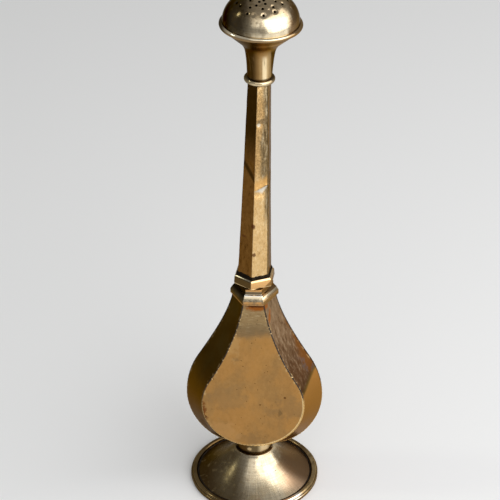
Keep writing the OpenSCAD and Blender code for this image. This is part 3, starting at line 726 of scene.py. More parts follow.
def cup_wear_and_light(parts):
    tree = parts["tree"]
    x, y, z = split(parts)
    streaks = noise(tree, stretched(tree, parts["where"], (1, 1, 0.06)), 900.0, 3.0, 0.6)
    glint = maths(tree, "ABSOLUTE", maths(tree, "SUBTRACT", x, 5.1))
    # Painted shade on the left.
    tint(parts, spread(tree, x, 6.0, 1.5), (0.26, 0.135, 0.035), 0.8)
    tint(parts, maths(tree, "MULTIPLY", spread(tree, glint, 1.5, 0.4), spread(tree, z, 252.5, 250.0)), (0.98, 0.8, 0.5), 0.85)
    # Painted shade under the flare.
    tint(parts, spread(tree, z, 248.5, 256.0), (0.24, 0.11, 0.02), 0.88)
    # Painted reflection: a lighter band across the flare.
    tint(parts, maths(tree, "MULTIPLY", maths(tree, "MULTIPLY", spread(tree, z, 258.6, 259.5), spread(tree, z, 261.3, 260.4)),
                      spread(tree, x, -3.0, 2.5)), (0.6, 0.37, 0.14), 0.7)
    # Painted shade, nearly black, on the far left.
    tint(parts, spread(tree, x, 3.2, -0.8), (0.034, 0.014, 0.001), 0.94)
    # Painted reflection on the right: golden brown, then nearly black at the edge.
    tint(parts, maths(tree, "MULTIPLY", spread(tree, x, 6.2, 7.3), spread(tree, z, 256.0, 252.0)), (0.3, 0.2, 0.09), 0.7)
    tint(parts, maths(tree, "MULTIPLY", spread(tree, x, 7.7, 8.3), spread(tree, z, 256.0, 252.0)), (0.05, 0.024, 0.005), 0.9)
    tint(parts, maths(tree, "MULTIPLY", spread(tree, streaks, 0.5, 0.64), spread(tree, z, 254.0, 248.0)),
         (0.22, 0.125, 0.045), 0.45)
    tint(parts, spread(tree, z, 239.5, 238.6), (0.07, 0.04, 0.015), 0.75, 0.1)


def wire_light_and_shade(parts):
    """Silver on top of the wire's round, with a golden painted reflection below, painted shade nearly black on the
    left, and a golden brown painted reflection on the right.
    """
    tree = parts["tree"]
    x, y, z = split(parts)
    level = maths(tree, "ADD", z, maths(tree, "MULTIPLY", x, 0.022))
    tint(parts, spread(tree, level, 266.05, 265.35), (0.24, 0.13, 0.04), 0.88)
    tint(parts, spread(tree, x, -11.0, -15.5), (0.02, 0.01, 0.002), 0.94)
    tint(parts, spread(tree, x, 13.0, 18.5), (0.26, 0.14, 0.045), 0.85)


wire_brass = old_brass("Seam wire brass", (0.85, 0.74, 0.54), (0.58, 0.45, 0.26), size=140, amount=0.6,
    rough=(0.14, 0.26), extra=wire_light_and_shade, scratch=0.2, pit_count=420, edge=(0.56, 0.5, 0.42))
cup_brass = old_brass("Rose cup brass", (0.62, 0.43, 0.21), (0.42, 0.26, 0.1), size=90, amount=0.6,
    rough=(0.3, 0.42), extra=cup_wear_and_light, edge=(0.54, 0.46, 0.36))
thread_brass = old_brass("Turned thread brass", (0.6, 0.4, 0.16), (0.35, 0.2, 0.07), size=120, amount=0.5)

# %% [markdown]
# ### Neck
#
# The neck is pale where a hand holds it, and its left faces carry painted shade, darker towards the top. A mottled grey
# stripe runs along the front face's right side.

# %% Neck and solder
def neck_wear_and_light(parts):
    tree = parts["tree"]
    x, y, z = split(parts)
    fine = noise(tree, stretched(tree, parts["where"], (1, 1, 0.45), (0, 20, 0)), 640.0, 6.0, 0.78)
    tint(parts, spread(tree, fine, 0.47, 0.66), (0.98, 0.76, 0.44), 0.5)
    tint(parts, spread(tree, fine, 0.46, 0.33), (0.36, 0.19, 0.065), 0.6)
    # The ridge between the left and the middle face leans with the neck.
    t = maths(tree, "DIVIDE", maths(tree, "SUBTRACT", z, 126.15), 109.5)
    ridge = maths(tree, "ADD", -1.03, maths(tree, "MULTIPLY", t, 2.74))
    # Painted shade: the left faces are darkened, more towards the top.
    left = spread(tree, maths(tree, "SUBTRACT", x, ridge), 0.12, -0.12)
    tint(parts, left, (0.14, 0.056, 0.008), 0.96, 0.03)
    tint(parts, maths(tree, "MULTIPLY", left, spread(tree, fine, 0.48, 0.66)), (0.25, 0.12, 0.025), 0.5)
    tint(parts, maths(tree, "MULTIPLY", left, spread(tree, fine, 0.46, 0.34)), (0.045, 0.018, 0.002), 0.6)
    tint(parts, maths(tree, "MULTIPLY", left, spread(tree, z, 184.0, 214.0)), (0.022, 0.01, 0.001), 0.88)
    # Painted shade in the dent on the left face.
    across = maths(tree, "SUBTRACT", z, maths(tree, "MULTIPLY", maths(tree, "ADD", x, 2.5), -1.5))
    tint(parts, maths(tree, "MULTIPLY", maths(tree, "MULTIPLY", spread(tree, across, 186.6, 188.6),
                                              spread(tree, across, 192.2, 190.0)), left), (0.03, 0.014, 0.002), 0.8)
    clouds = noise(tree, stretched(tree, parts["where"], (1, 1, 0.35)), 420.0, 5.0, 0.7)
    front = spread(tree, left, 0.6, 0.2)
    middle = maths(tree, "MULTIPLY", spread(tree, z, 176.0, 194.0), spread(tree, z, 236.0, 224.0))
    tint(parts, maths(tree, "MULTIPLY", middle, front), (0.42, 0.25, 0.095), 0.75)
    right_edge = maths(tree, "ADD", 7.0, maths(tree, "MULTIPLY", t, -0.9))
    aside = maths(tree, "ADD", maths(tree, "SUBTRACT", x, right_edge), maths(tree, "MULTIPLY", clouds, 3.2))
    wide = maths(tree, "MULTIPLY", spread(tree, z, 180.0, 188.0), spread(tree, z, 216.0, 206.0))
    strands = noise(tree, stretched(tree, parts["where"], (1, 1, 0.12)), 1100.0, 4.0, 0.7)
    stripe = maths(tree, "MULTIPLY", spread(tree, maths(tree, "ADD", aside, maths(tree, "MULTIPLY", wide, 1.5)), -0.9, 1.1),
                   maths(tree, "MULTIPLY", spread(tree, z, 154.0, 172.0), spread(tree, x, 7.2, 6.4)))
    tint(parts, stripe, (0.16, 0.115, 0.058), 0.82, 0.08)
    tint(parts, maths(tree, "MULTIPLY", stripe, spread(tree, strands, 0.51, 0.6)), (0.5, 0.4, 0.25), 0.7)
    tint(parts, maths(tree, "MULTIPLY", stripe, spread(tree, strands, 0.45, 0.37)), (0.06, 0.04, 0.018), 0.65)
    # Above the fold the face is rough, like fine orange peel.
    peel = noise(tree, stretched(tree, parts["where"], (1, 1, 0.6)), 1500.0, 4.0, 0.65)
    rough_part = maths(tree, "MULTIPLY", front, spread(tree, z, 178.0, 196.0, 0.25, 1.0))
    tint(parts, rough_part, spread(tree, peel, 0.36, 0.64, 0.62, 1.32), 0.85, kind="MULTIPLY")
    parts["height"] = maths(tree, "ADD", parts["height"], maths(tree, "MULTIPLY", maths(tree, "MULTIPLY", peel, rough_part), 2.0))
    # Just below the fold lies a painted highlight, and just above it a golden painted reflection.
    fold = maths(tree, "SUBTRACT", maths(tree, "ADD", 178.7, maths(tree, "MULTIPLY", x, 0.42)), z)
    off_middle = maths(tree, "ABSOLUTE", maths(tree, "SUBTRACT", x, 4.0))
    wedge = maths(tree, "MULTIPLY", spread(tree, fold, 0.0, 0.35),
                  spread(tree, maths(tree, "ADD", fold, maths(tree, "MULTIPLY", off_middle, 0.95)), 4.4, 2.2))
    tint(parts, maths(tree, "MULTIPLY", wedge, spread(tree, x, 7.0, 6.6)), (0.86, 0.8, 0.68), 0.92)
    tint(parts, maths(tree, "MULTIPLY", maths(tree, "MULTIPLY", spread(tree, fold, 0.0, -0.5), spread(tree, fold, -6.5, -3.0)),
                      maths(tree, "MULTIPLY", front, spread(tree, x, 7.0, 6.5))), (0.72, 0.4, 0.125), 0.75)
    # A dark line runs along the right ridge, and the narrow face beyond it is painted golden brown as a painted
    # reflection.
    ridge_line = maths(tree, "SUBTRACT", x, maths(tree, "ADD", 7.15, maths(tree, "MULTIPLY", t, -0.35)))
    beside = maths(tree, "ADD", ridge_line, maths(tree, "MULTIPLY", maths(tree, "SUBTRACT", clouds, 0.5), 1.1))
    tint(parts, spread(tree, beside, 0.0, 0.4), (0.15, 0.066, 0.016), 0.9)
    tint(parts, maths(tree, "MULTIPLY", spread(tree, beside, -0.75, -0.3), spread(tree, beside, 0.35, 0.0)),
         (0.06, 0.036, 0.014), 0.8, 0.1)
    tint(parts, spread(tree, z, 234.6, 235.6), (0.07, 0.04, 0.015), 0.8, 0.1)


neck_brass = old_brass("Rubbed neck brass", (0.74, 0.49, 0.215), (0.56, 0.34, 0.13), size=70, amount=0.65,
    rough=(0.24, 0.36), scratch=0.3, pit=0.5, pit_count=420, extra=neck_wear_and_light, edge=(0.52, 0.43, 0.33),
    stains=[((-0.3, -7.9, 159.2), (1.1, 2, 1.5), dark_rust, 0.9, 0.35, 700), ((0.2, -8.2, 143.1), (0.9, 2, 1.2), dark_rust, 0.85, 0.35, 700),
            ((-5, -6.6, 152), (1.6, 3, 0.8), dark_rust, 0.7, 0.5, 600), 
            # A painted highlight and painted shade at the small dent near the top.
            ((2.4, -6.0, 214.6), (0.9, 2, 1.2), (0.75, 0.68, 0.54), 0.75, 0.4, 700), ((3.9, -5.4, 216.6), (2.6, 2, 1.6), (0.2, 0.14, 0.075), 0.6, 0.6, 600)])


def seam_wear_and_highlight(parts):
    """Below the widest part the seams are rubbed bright and carry a painted highlight, strongest on the right; above it
    they stay dark.
    """
    tree = parts["tree"]
    x, y, z = split(parts)
    ragged = maths(tree, "ADD", z, maths(tree, "MULTIPLY", noise(tree, parts["where"], 150.0, 3.0, 0.6), 8.0))
    tint(parts, maths(tree, "MULTIPLY", spread(tree, ragged, 66.0, 61.0), spread(tree, x, -12.0, 8.0, 0.45, 1.0)),
         (0.72, 0.46, 0.17), 1.0, -0.25)


solder = old_brass("Blackened solder", (0.055, 0.042, 0.032), (0.015, 0.01, 0.007), size=300, amount=0.8,
    rough=(0.42, 0.6), scratch=0.1)
seam_solder = old_brass("Seam solder", (0.075, 0.062, 0.055), (0.02, 0.014, 0.01), size=260, amount=0.9,
    rough=(0.36, 0.55), scratch=0.1, extra=seam_wear_and_highlight)
grime = old_brass("Black grime", (0.02, 0.014, 0.009), (0.008, 0.006, 0.004), size=400, amount=0.8,
    rough=(0.5, 0.75), scratch=0.05)
burr_brass = old_brass("Scraped burrs", (0.75, 0.56, 0.3), (0.4, 0.25, 0.1), size=300, amount=0.6, rough=(0.25, 0.4))

# %% Sizes taken from the measured model
foot_rim_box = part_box("foot_rim")
foot_cone_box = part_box("foot_cone")
foot_r = foot_rim_box[1].x / mm
rim_top = foot_rim_box[1].z / mm
foot_top = foot_cone_box[1].z / mm
print("foot radius", round(foot_r, 2), "height", round(foot_top, 2))

# %% [markdown]
# ## The foot
#
# The foot was spun from sheet and stands on a thicker rim with a bead round its top edge. Both are
# turned here from their outlines, with the sheet's real thickness.

# %% Foot rim
bead_x = foot_r - 2.1
rim = turned("foot_rim_turned",
    [(foot_r - 6.6, 0)] + [(foot_r - 0.9, 0)] + arc(foot_r - 0.8, 0.8, 0.8, -80, 0, 4)
    + arc(foot_r - 0.7, 1.55, 0.7, 10, 80, 4) + arc(bead_x, 2.1, 1.4, 0, 172, 14)
    + [(bead_x - 1.62, 1.9), (foot_r - 5.7, 1.9), (foot_r - 6.6, 1.0)], sides=192)
uneven(rim, 9, 0.12)
choose(rim, lambda co: co.z < 0.1 * mm)
bpy.ops.transform.resize(value=(1, 1, 0), center_override=(0, 0, 0))
smooth(rim, 40)
hand_over(rim, "bottle", rim_brass, "foot_brass", "foot_rim")

# %% Foot cone
def cone_outline(steps=22):
    foot, top = Vector((29.6, 2.4)), Vector((10.4, 18.3))
    slope = (top - foot).normalized()
    pull = (foot + top) / 2 - 2 * 1.5 * Vector((slope.y, -slope.x))
    outer, inner = [], []
    for i in range(steps + 1):
        t = i / steps
        p = (1 - t) ** 2 * foot + 2 * (1 - t) * t * pull + t * t * top
        d = ((1 - t) * (pull - foot) + t * (top - pull)).normalized()
        outer.append((p.x, p.y))
        q = p - 1.1 * Vector((d.y, -d.x))
        inner.append((q.x, max(q.y, 1.9)))
    lip = [(10.3, 18.75), (10.05, 18.95), (9.7, 19.0), (5.5, 19.0), (5.5, 17.9)]
    return [(29.6, 1.9), (29.62, 2.2)] + outer + lip + inner[::-1]


cone = turned("foot_cone_spun", cone_outline(), sides=192)
uneven(cone, 14, 0.22)
smooth(cone, 40)
hand_over(cone, "bottle", foot_brass, "foot_brass", "foot_cone")

# %% [markdown]
# The groove between the rim's bead and the cone is full of blackened solder, with a few lumps.

# %% Solder in the foot's groove
groove = turned("foot_groove_solder", arc(30.05, 2.05, 0.5, 0, 330, 11), sides=300)
uneven(groove, 1.6, 0.7)
smooth(groove, 60)
hand_over(groove, "bottle", solder, "foot_brass")

# %% Knop
knop = turned("foot_knop_turned", [(5.5, 17.9), (5.5, 19.0), (9.0, 19.02), (9.3, 19.4), (9.4, 20.6), (9.3, 22),
    (8.9, 23.6), (8.5, 25), (8.5, 26.5), (4, 26.5), (4, 17.9)], sides=96)
uneven(knop, 8, 0.2)
smooth(knop, 40)
hand_over(knop, "bottle", knop_brass, "cast_brass", "foot_knop")

# %% [markdown]
# ## The belly's outlines
#
# Two curves describe the whole belly. One runs down the edge of the front panel, the other
# down the side corner in the middle plane.

# %% Outlines
keel_z, belly_r, panel_r, body_top = 20.3, 35.5, 26.4, 116.8
belly_z = keel_z + belly_r - 2.9
panel_z = belly_z + 3.3


def round_part(r, z, flat, k, a):
    if a < 90:
        return Vector((r * math.sin(math.radians(a)), z + k * r * math.cos(math.radians(a))))
    c = -math.cos(math.radians(a))
    return Vector((r * math.sin(math.radians(a)), z - r * c + (flat * c ** (r / flat) if flat else 0)))


def shoulder_part(r, z, k, a, pull, lean, top, t):
    start = round_part(r, z, 0, k, a)
    rise = body_top - start.y
    way = Vector((-math.cos(math.radians(a)), k * math.sin(math.radians(a)))).normalized()
    p = [Vector((top, body_top)), Vector((top + rise * lean, body_top - rise * 0.3)), start + rise * pull * way, start]
    return ((1 - t) ** 3 * p[0] + 3 * (1 - t) ** 2 * t * p[1] + 3 * (1 - t) * t * t * p[2] + t ** 3 * p[3])


def side_line(s):
    if s < 0.4:
        return shoulder_part(belly_r, belly_z, 1.16, 55, 0.4, 0.05, 10.6, s / 0.4)
    return round_part(belly_r, belly_z, 2.9, 1.16, 55 + 125 * (s - 0.4) / 0.6)


def panel_line(s):
    if s < 0.4:
        return shoulder_part(panel_r, panel_z, 1, 60, 0.43, 0.03, 4.95, s / 0.4)
    return round_part(panel_r, panel_z, 0, 1, 60 + 120 * (s - 0.4) / 0.6)


def half_depth(z):
    top = (10.6 - 4.95) * math.tan(math.radians(60))
    start, low = panel_z + panel_r * 0.67, panel_z - panel_r
    t = max(0, min(1, (body_top - z) / (body_top - start)))
    c = max(0, min(1, (z - low) / (start - low)))
    return (top + (15.5 - top) * (0.5 - 0.5 * math.cos(math.pi * t))
            + 0.4 * (0.5 - 0.5 * math.cos(2 * math.pi * c)))


def panel_corner(s, x_side=1, y_side=-1):
    p = panel_line(s)
    return Vector((x_side * max(p.x, 0.02), y_side * half_depth(p.y), p.y))


def side_corner(s, x_side=1):
    p = side_line(s)
    return Vector((x_side * max(p.x, 0.02), 0, p.y))


# %% [markdown]
# ## The six sheets
#
# The maker cut six sheets and soldered them edge to edge. Each is made the same way here: its two
# long edges are drawn as curves, turned into mesh and bridged with enough rows to bend, and Solidify
# gives it the sheet's thickness on the inside.

# %% Bridging two edges
def drawn(name, points):
    curve = bpy.data.curves.new(name, "CURVE")
    curve.dimensions = "3D"
    line = curve.splines.new("POLY")
    line.points.add(len(points) - 1)
    for spot, p in zip(line.points, points):
        spot.co = (p[0] * mm, p[1] * mm, p[2] * mm, 1)
    piece = bpy.data.objects.new(name, curve)
    bpy.context.scene.collection.objects.link(piece)
    pick(piece)
    bpy.ops.object.convert(target="MESH")
    return bpy.context.object


def sheet_between(name, first, second, cuts, outward):
    a, b = drawn(name, first), drawn(name + "_edge", second)
    pick(a, b)
    bpy.ops.object.join()
    bpy.ops.object.mode_set(mode="EDIT")
    bpy.ops.mesh.select_all(action="SELECT")
    bpy.ops.mesh.bridge_edge_loops(number_cuts=cuts, interpolation="LINEAR")
    bpy.ops.mesh.select_all(action="SELECT")
    bpy.ops.mesh.normals_make_consistent(inside=False)
    bpy.ops.object.mode_set(mode="OBJECT")
    a.data.update()
    mean = sum((f.normal * f.area for f in a.data.polygons), Vector())
    if mean.dot(Vector(outward)) < 0:
        bpy.ops.object.mode_set(mode="EDIT")
        bpy.ops.mesh.flip_normals()
        bpy.ops.object.mode_set(mode="OBJECT")
    return a


def finish_sheet(piece, first, second, wave=0.18):
    keep_seam_distance(piece, first, second)
    uneven(piece, 16, wave)
    modify(piece, "SOLIDIFY", thickness=0.9 * mm, offset=-1)
    clean(piece)
    round_edges(piece, 0.16, 2, 50)
    return smooth(piece, 40)


def keep_seam_distance(piece, first, second):
    """Writes each point's distance from the two long edges into the mesh, in millimetres."""
    from mathutils import kdtree
    edges = first + second
    tree = kdtree.KDTree(len(edges))
    for i, p in enumerate(edges):
        tree.insert(p, i)
    tree.balance()
    layer = piece.data.attributes.new("from_seam", "FLOAT", "POINT")
    for v in piece.data.vertices:
        layer.data[v.index].value = tree.find(v.co / mm)[2]


rows = [i / 110 for i in range(111)]

# %% Front and back sheets
for name, y_side, brass, slot_name in (("front_panel", -1, front_brass, "front_sheet"),
                                       ("back_panel", 1, back_brass, "back_sheet")):
    left_edge = [panel_corner(s, -1, y_side) for s in rows]
    right_edge = [panel_corner(s, 1, y_side) for s in rows]
    sheet = sheet_between(name + "_sheet", left_edge, right_edge, 44, (0, y_side, 0))
    finish_sheet(sheet, left_edge, right_edge)
    hand_over(sheet, "bottle", brass, slot_name, name)

# %% Side sheets in place
for name, x_side, y_side, brass in (("front_right", 1, -1, right_brass), ("front_left", -1, -1, left_brass),
                                    ("back_right", 1, 1, side_brass), ("back_left", -1, 1, side_brass)):
    inner_edge = [panel_corner(s, x_side, y_side) for s in rows]
    outer_edge = [side_corner(s, x_side) for s in rows]
    sheet = sheet_between(name + "_sheet", inner_edge, outer_edge, 18, (x_side, y_side, 0))
    finish_sheet(sheet, inner_edge, outer_edge)
    hand_over(sheet, "bottle", brass, "side_sheet", name + "_side")

# %% [markdown]
# ## Solder along the seams
#
# The seams show as thin dark lines with small lumps. Each is a curve along the edge, with a
# thickness that changes from point to point by a sum of sines, so that it is uneven but always the same.

# %% Seam lines
def wander(i, seed):
    return (math.sin(i * 1.7 + seed) + 0.6 * math.sin(i * 3.1 + 2 * seed) + 0.5 * math.sin(i * 7.3 + 3 * seed)) / 2.1


def bead(name, points, thickness, seed, lumps=0.5):
    curve = bpy.data.curves.new(name, "CURVE")
    curve.dimensions = "3D"
    curve.bevel_depth = thickness * mm
    curve.bevel_resolution = 2
    curve.use_fill_caps = True
    line = curve.splines.new("POLY")
    line.points.add(len(points) - 1)
    for i, (spot, p) in enumerate(zip(line.points, points)):
        spot.co = (p[0] * mm, p[1] * mm, p[2] * mm, 1)
        spot.radius = max(0.35, 1 + lumps * wander(i, seed))
    piece = bpy.data.objects.new(name, curve)
    bpy.context.scene.collection.objects.link(piece)
    pick(piece)
    bpy.ops.object.convert(target="MESH")
    return smooth(bpy.context.object, 60)


fine_rows = [i / 320 for i in range(320)]
for name, x_side, y_side, width in (("front_right", 1, -1, 0.34), ("front_left", -1, -1, 0.26), ("back_right", 1, 1, 0.28),
                                    ("back_left", -1, 1, 0.28)):
    path = [panel_corner(s, x_side, y_side) for s in fine_rows]
    path = [Vector((p.x * 0.997, p.y * 0.988, p.z)) for p in path]
    seam = bead(name + "_seam_solder", path, width, 1.3 + 2 * x_side + y_side)
    hand_over(seam, "bottle", seam_solder, "side_sheet")
for name, x_side in (("right", 1), ("left", -1)):
    path = [side_corner(s, x_side) for s in fine_rows]
    path = [Vector((p.x * 0.994, 0, p.z)) for p in path]
    seam = bead(name + "_edge_solder", path, 0.25, 4.0 + x_side)
    hand_over(seam, "bottle", seam_solder, "side_sheet")

# %% [markdown]
# The scraper left small burrs beside the upper seams. One burr is a ball, pressed flat. It is copied
# along the seams with a different size and turn each time.

# %% Burrs
def burr(i, spot, size):
    pick()
    bpy.ops.mesh.primitive_ico_sphere_add(subdivisions=2, radius=size * mm, location=spot * mm)
    piece = bpy.context.object
    piece.scale = (1 + 0.6 * wander(i, 2.0), 0.5, 1 + 0.7 * wander(i, 5.0))
    piece.rotation_euler = (0.3 * wander(i, 1.0), 0.9 * wander(i, 3.0), 0.4 * wander(i, 4.0))
    return uneven(settle(piece), 0.6, 0.3 * size)


left_spots = (0.075, 0.10, 0.115, 0.15, 0.17, 0.185, 0.21, 0.235, 0.25, 0.29, 0.33, 0.345, 0.38, 0.41)
right_spots = (0.09, 0.135, 0.15, 0.162, 0.20, 0.26, 0.31, 0.36)
burrs = [burr(i, panel_corner(s, -1) + Vector((0.25 + 0.3 * wander(i, 1), -0.05, 0)), 0.34 + 0.14 * wander(i, 7))
         for i, s in enumerate(left_spots)]
burrs += [burr(i, panel_corner(s, 1) + Vector((-0.25 + 0.3 * wander(i, 2), -0.05, 0)), 0.36 + 0.16 * wander(i, 9))
          for i, s in enumerate(right_spots)]
burrs = smooth(joined("seam_burrs", *burrs), 60)
hand_over(burrs, "bottle", burr_brass, "front_sheet")

# %% [markdown]
# ## The body collar
#
# The collar is a casting, filed to six sides. Its front and back stand a little further out than
# a regular hexagon's, so after turning it with six corners, those corners are moved out. A Boolean
# bores it for the threaded tube.

# %% Body collar
def bored(piece, radius, low, high):
    pick()
    bpy.ops.mesh.primitive_cylinder_add(vertices=96, radius=radius * mm, depth=(high - low) * mm,
                                        location=(0, 0, (low + high) / 2 * mm))
    drill = settle(bpy.context.object)
    modify(piece, "BOOLEAN", operation="DIFFERENCE", object=drill, solver="EXACT")
    bpy.data.objects.remove(drill)
    return piece


def push_faces_out(piece, dx, dy):
    """Moves the four front and back corners of a hexagon, which keeps its corner angles."""
    for x_side in (1, -1):
        for y_side in (1, -1):
            choose(piece, lambda co: co.x * x_side > 1 * mm and co.y * y_side > 1 * mm)
            bpy.ops.transform.translate(value=(-x_side * dx * mm, y_side * dy * mm, 0))
    pick(piece)
    return piece


collar_low, collar_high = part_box("body_collar")[0].z / mm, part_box("body_collar")[1].z / mm
collar = turned("body_collar_cast", [(11.2, collar_low), (12.3, collar_low), (12.3, collar_low + 2.4),
    (11.05, collar_low + 4.5), (10.6, collar_low + 5.0), (9.9, collar_low + 5.25), (9.6, collar_low + 5.45),
    (9.6, collar_high - 0.25), (9.3, collar_high), (5, collar_high),
    (5, collar_low + 1.3), (11.2, collar_low + 1.3)], sides=6, turn=30)
push_faces_out(collar, 0.95, 1.65)
bored(collar, 7.3, collar_low, collar_high + 1)
round_edges(collar, 0.22, 3, 25)
uneven(collar, 5, 0.12)
smooth(collar, 35)
hand_over(collar, "bottle", cast_brass, "cast_brass", "body_collar")

# %% [markdown]
# ## The screw
#
# The thread is one tooth, carried round by the Screw modifier: each turn lifts it by the pitch. The
# plug and the socket have the same helix, one with a little less radius, so they stay in mesh while
# the neck turns.

# %% Threads
pitch = 1.5


def ridge(name, tooth, low, turns):
    """Carries a closed outline of [radius, height] points round and up, and caps its two ends."""
    loop = [(r, 0, low + z) for r, z in tooth]
    piece = drawn(name, loop + loop[:1])
    clean(piece)
    modify(piece, "SCREW", angle=2 * math.pi, screw_offset=pitch * mm, iterations=turns, steps=48,
           render_steps=48, use_merge_vertices=True, merge_threshold=0.01 * mm)
    pick(piece)
    bpy.ops.object.mode_set(mode="EDIT")
    bpy.ops.mesh.select_mode(type="EDGE")
    bpy.ops.mesh.select_all(action="DESELECT")
    bpy.ops.mesh.select_non_manifold()
    bpy.ops.mesh.edge_face_add()
    bpy.ops.object.mode_set(mode="OBJECT")
    return clean(piece)


socket_low, socket_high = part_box("screw_socket")[0].z / mm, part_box("screw_socket")[1].z / mm
socket = turned("screw_socket_tube", [(7.3, socket_low), (7.3, socket_high), (6.7, socket_high), (6.7, socket_low)],
                sides=96)
female = ridge("socket_thread", [(6.75, -0.5), (6.75, 0.5), (5.95, 0.12), (5.95, -0.12)], socket_low + 1.0, 7)
socket = joined("screw_socket_tapped", socket, female)
smooth(socket, 30)
hand_over(socket, "bottle", thread_brass, "thread_brass", "screw_socket")

# %% Plug
neck_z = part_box("neck_collar")[0].z / mm
plug = turned("neck_plug_body", [(4.9, neck_z - 8), (5.5, neck_z - 8), (5.87, neck_z - 7.6), (5.87, neck_z - 1.1),
    (6.2, neck_z - 1.0), (6.2, neck_z), (6.7, neck_z + 0.05), (6.7, neck_z + 5.4), (4.9, neck_z + 5.4)], sides=96)
male = ridge("plug_thread", [(5.8, -0.5), (6.6, -0.12), (6.6, 0.12), (5.8, 0.5)], neck_z - 7.0, 4)
plug = joined("neck_plug_threaded", plug, male)
smooth(plug, 30)
hand_over(plug, "neck", thread_brass, "thread_brass", "neck_plug")

# %% Leather washer
leather = old_brass("Dark leather", (0.075, 0.036, 0.017), (0.035, 0.018, 0.01), size=200, amount=0.8,
    rough=(0.55, 0.75), scratch=0.1, pit=0.2, pit_count=1600, film=((0.12, 0.065, 0.03), 0.4, 500.0), bump=0.05)
leather.node_tree.nodes["Principled BSDF"].inputs["Metallic"].default_value = 0.0
washer_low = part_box("neck_washer")[0].z / mm
washer = turned("neck_washer_cut", [(6.3, washer_low), (7.1, washer_low), (7.24, washer_low + 0.3),
    (7.24, washer_low + 0.7), (7.1, washer_low + 1), (6.3, washer_low + 1)], sides=96)
uneven(washer, 2, 0.08)
smooth(washer, 40)
hand_over(washer, "washer", leather, "leather", "neck_washer")

# %% [markdown]
# ## The neck
#
# The neck leans a little to the right, as old soldered necks do, and its six sides stand turned
# against the body. So its pieces are built upright at the origin, then turned, leant and lifted.

# %% Collar of the neck
neck_foot = 126.15
neck_lean, neck_turn = 1.25, 23.5


def on_neck(piece, turn=0.0):
    """Turns a piece on its own axis, leans it with the neck and lifts it to the neck's foot."""
    piece.rotation_euler.z = math.radians(turn)
    settle(piece)
    piece.rotation_euler.y = math.radians(neck_lean)
    piece.location.z = neck_foot * mm
    return settle(piece)


neck_collar = turned("neck_collar_cast", [(10.6, neck_z), (11, neck_z + 0.9), (10.7, neck_z + 4.3),
    (9.9, neck_z + 5.1), (8.9, neck_z + 5.1), (8.9, neck_z + 2.6), (5, neck_z + 2.6), (5, neck_z)], sides=6,
    turn=30 + neck_turn)
bored(neck_collar, 6.8, neck_z - 1, neck_z + 3)
round_edges(neck_collar, 0.25, 3, 25)
uneven(neck_collar, 5, 0.12)
smooth(neck_collar, 35)
hand_over(neck_collar, "neck", cast_brass, "cast_brass", "neck_collar")

# %% Neck tube
neck_len = 109.5


def neck_radius(z):
    t = z / neck_len
    return 9.1 + (6.05 - 9.1) * t - 0.15 * math.sin(math.pi * t)


stations = [neck_len * i / 120 for i in range(121)]
tube = turned("neck_tube_folded", [(neck_radius(z), z) for z in stations]
              + [(neck_radius(z) - 0.92, z) for z in stations[::3][::-1]], sides=6, cuts=9)
round_edges(tube, 0.4, 3, 40)
on_neck(tube, 30 + neck_turn)
uneven(tube, 12, 0.2)

# %% [markdown]
# The neck has been knocked: a fold runs across its front face, with a shallow dent below it, and
# smaller dents lie above and on the left. Each dent moves the points near a line and lets the
# others follow by proportional editing, softly or with a sharp edge.

# %% Dents in the neck
def dent(piece, start, end, push, reach, fall="SMOOTH", thick=0.7):
    a, b = Vector(start), Vector(end)

    def near(co):
        p = co / mm
        t = max(0.0, min(1.0, (p - a).dot(b - a) / max((b - a).length_squared, 1e-6)))
        return (p - (a + (b - a) * t)).length < thick

    choose(piece, near)
    bpy.ops.transform.translate(value=[c * mm for c in push], use_proportional_edit=True,
                                proportional_edit_falloff=fall, proportional_size=reach * mm)
    bpy.ops.object.mode_set(mode="OBJECT")


dent(tube, (1.2, -7.0, 177.0), (6.6, -4.8, 178.8), (-0.28, 0.6, 0), 3.6)
dent(tube, (1.0, -7.2, 179.3), (6.8, -4.6, 181.7), (0.16, -0.38, 0), 1.3, "SHARP")
dent(tube, (2.0, -6.2, 214.6), (3.6, -5.5, 214.9), (-0.1, 0.4, 0), 2.0)
dent(tube, (-4.2, -4.6, 194.0), (-1.2, -5.6, 189.0), (0.25, 0.4, 0), 3.4)
dent(tube, (7.4, -2.2, 187.0), (7.6, 0.4, 187.5), (-0.3, 0, 0), 3.0)
dent(tube, (7.6, -1.5, 181.0), (7.8, 0.4, 181.0), (0.22, 0, 0), 2.4)
smooth(tube, 30)
hand_over(tube, "neck", neck_brass, "neck_sheet", "neck_tube")

# %% [markdown]
# Old solder and polish sit where the tube leaves its collar. It is a six-sided fillet, pushed about
# by fine clouds.

# %% Grime at the neck's foot
fillet = turned("neck_foot_grime", [(8.7, 2.3), (9.75, 2.45), (9.7, 2.9), (9.4, 3.5), (9.1, 4.2), (8.6, 4.5)],
                sides=6, cuts=24)
on_neck(fillet, 30 + neck_turn)
uneven(fillet, 1.3, 0.75)
smooth(fillet, 60)
hand_over(fillet, "neck", grime, "neck_sheet")

# %% Sleeve and ring
sleeve = turned("rose_sleeve_rolled", [(4.36, 101), (4.36, 119.7), (3.71, 119.7), (3.71, 101)], sides=64)
on_neck(sleeve)
smooth(sleeve, 30)
hand_over(sleeve, "neck", thread_brass, "thread_brass", "rose_sleeve")
ring = turned("neck_ring_bent", [(4.4, neck_len)] + arc(6.05, neck_len + 1.35, 1.45, -68, 68, 12)
              + [(4.4, neck_len + 2.7)], sides=96)
on_neck(ring)
uneven(ring, 5, 0.1)
smooth(ring, 40)
hand_over(ring, "neck", ring_brass, "cast_brass", "neck_ring")

# %% [markdown]
# ## The rose
#
# The cup widens from the neck to the seam, where a wire covers the joint, and a domed cap closes it.
# The cap is pierced with a Boolean: one joined set of pins stands where the maker's punch went in.

# %% Rose cup
cup_z = neck_len + 2.7
rose_r, cup_h = 18.35, 26.3


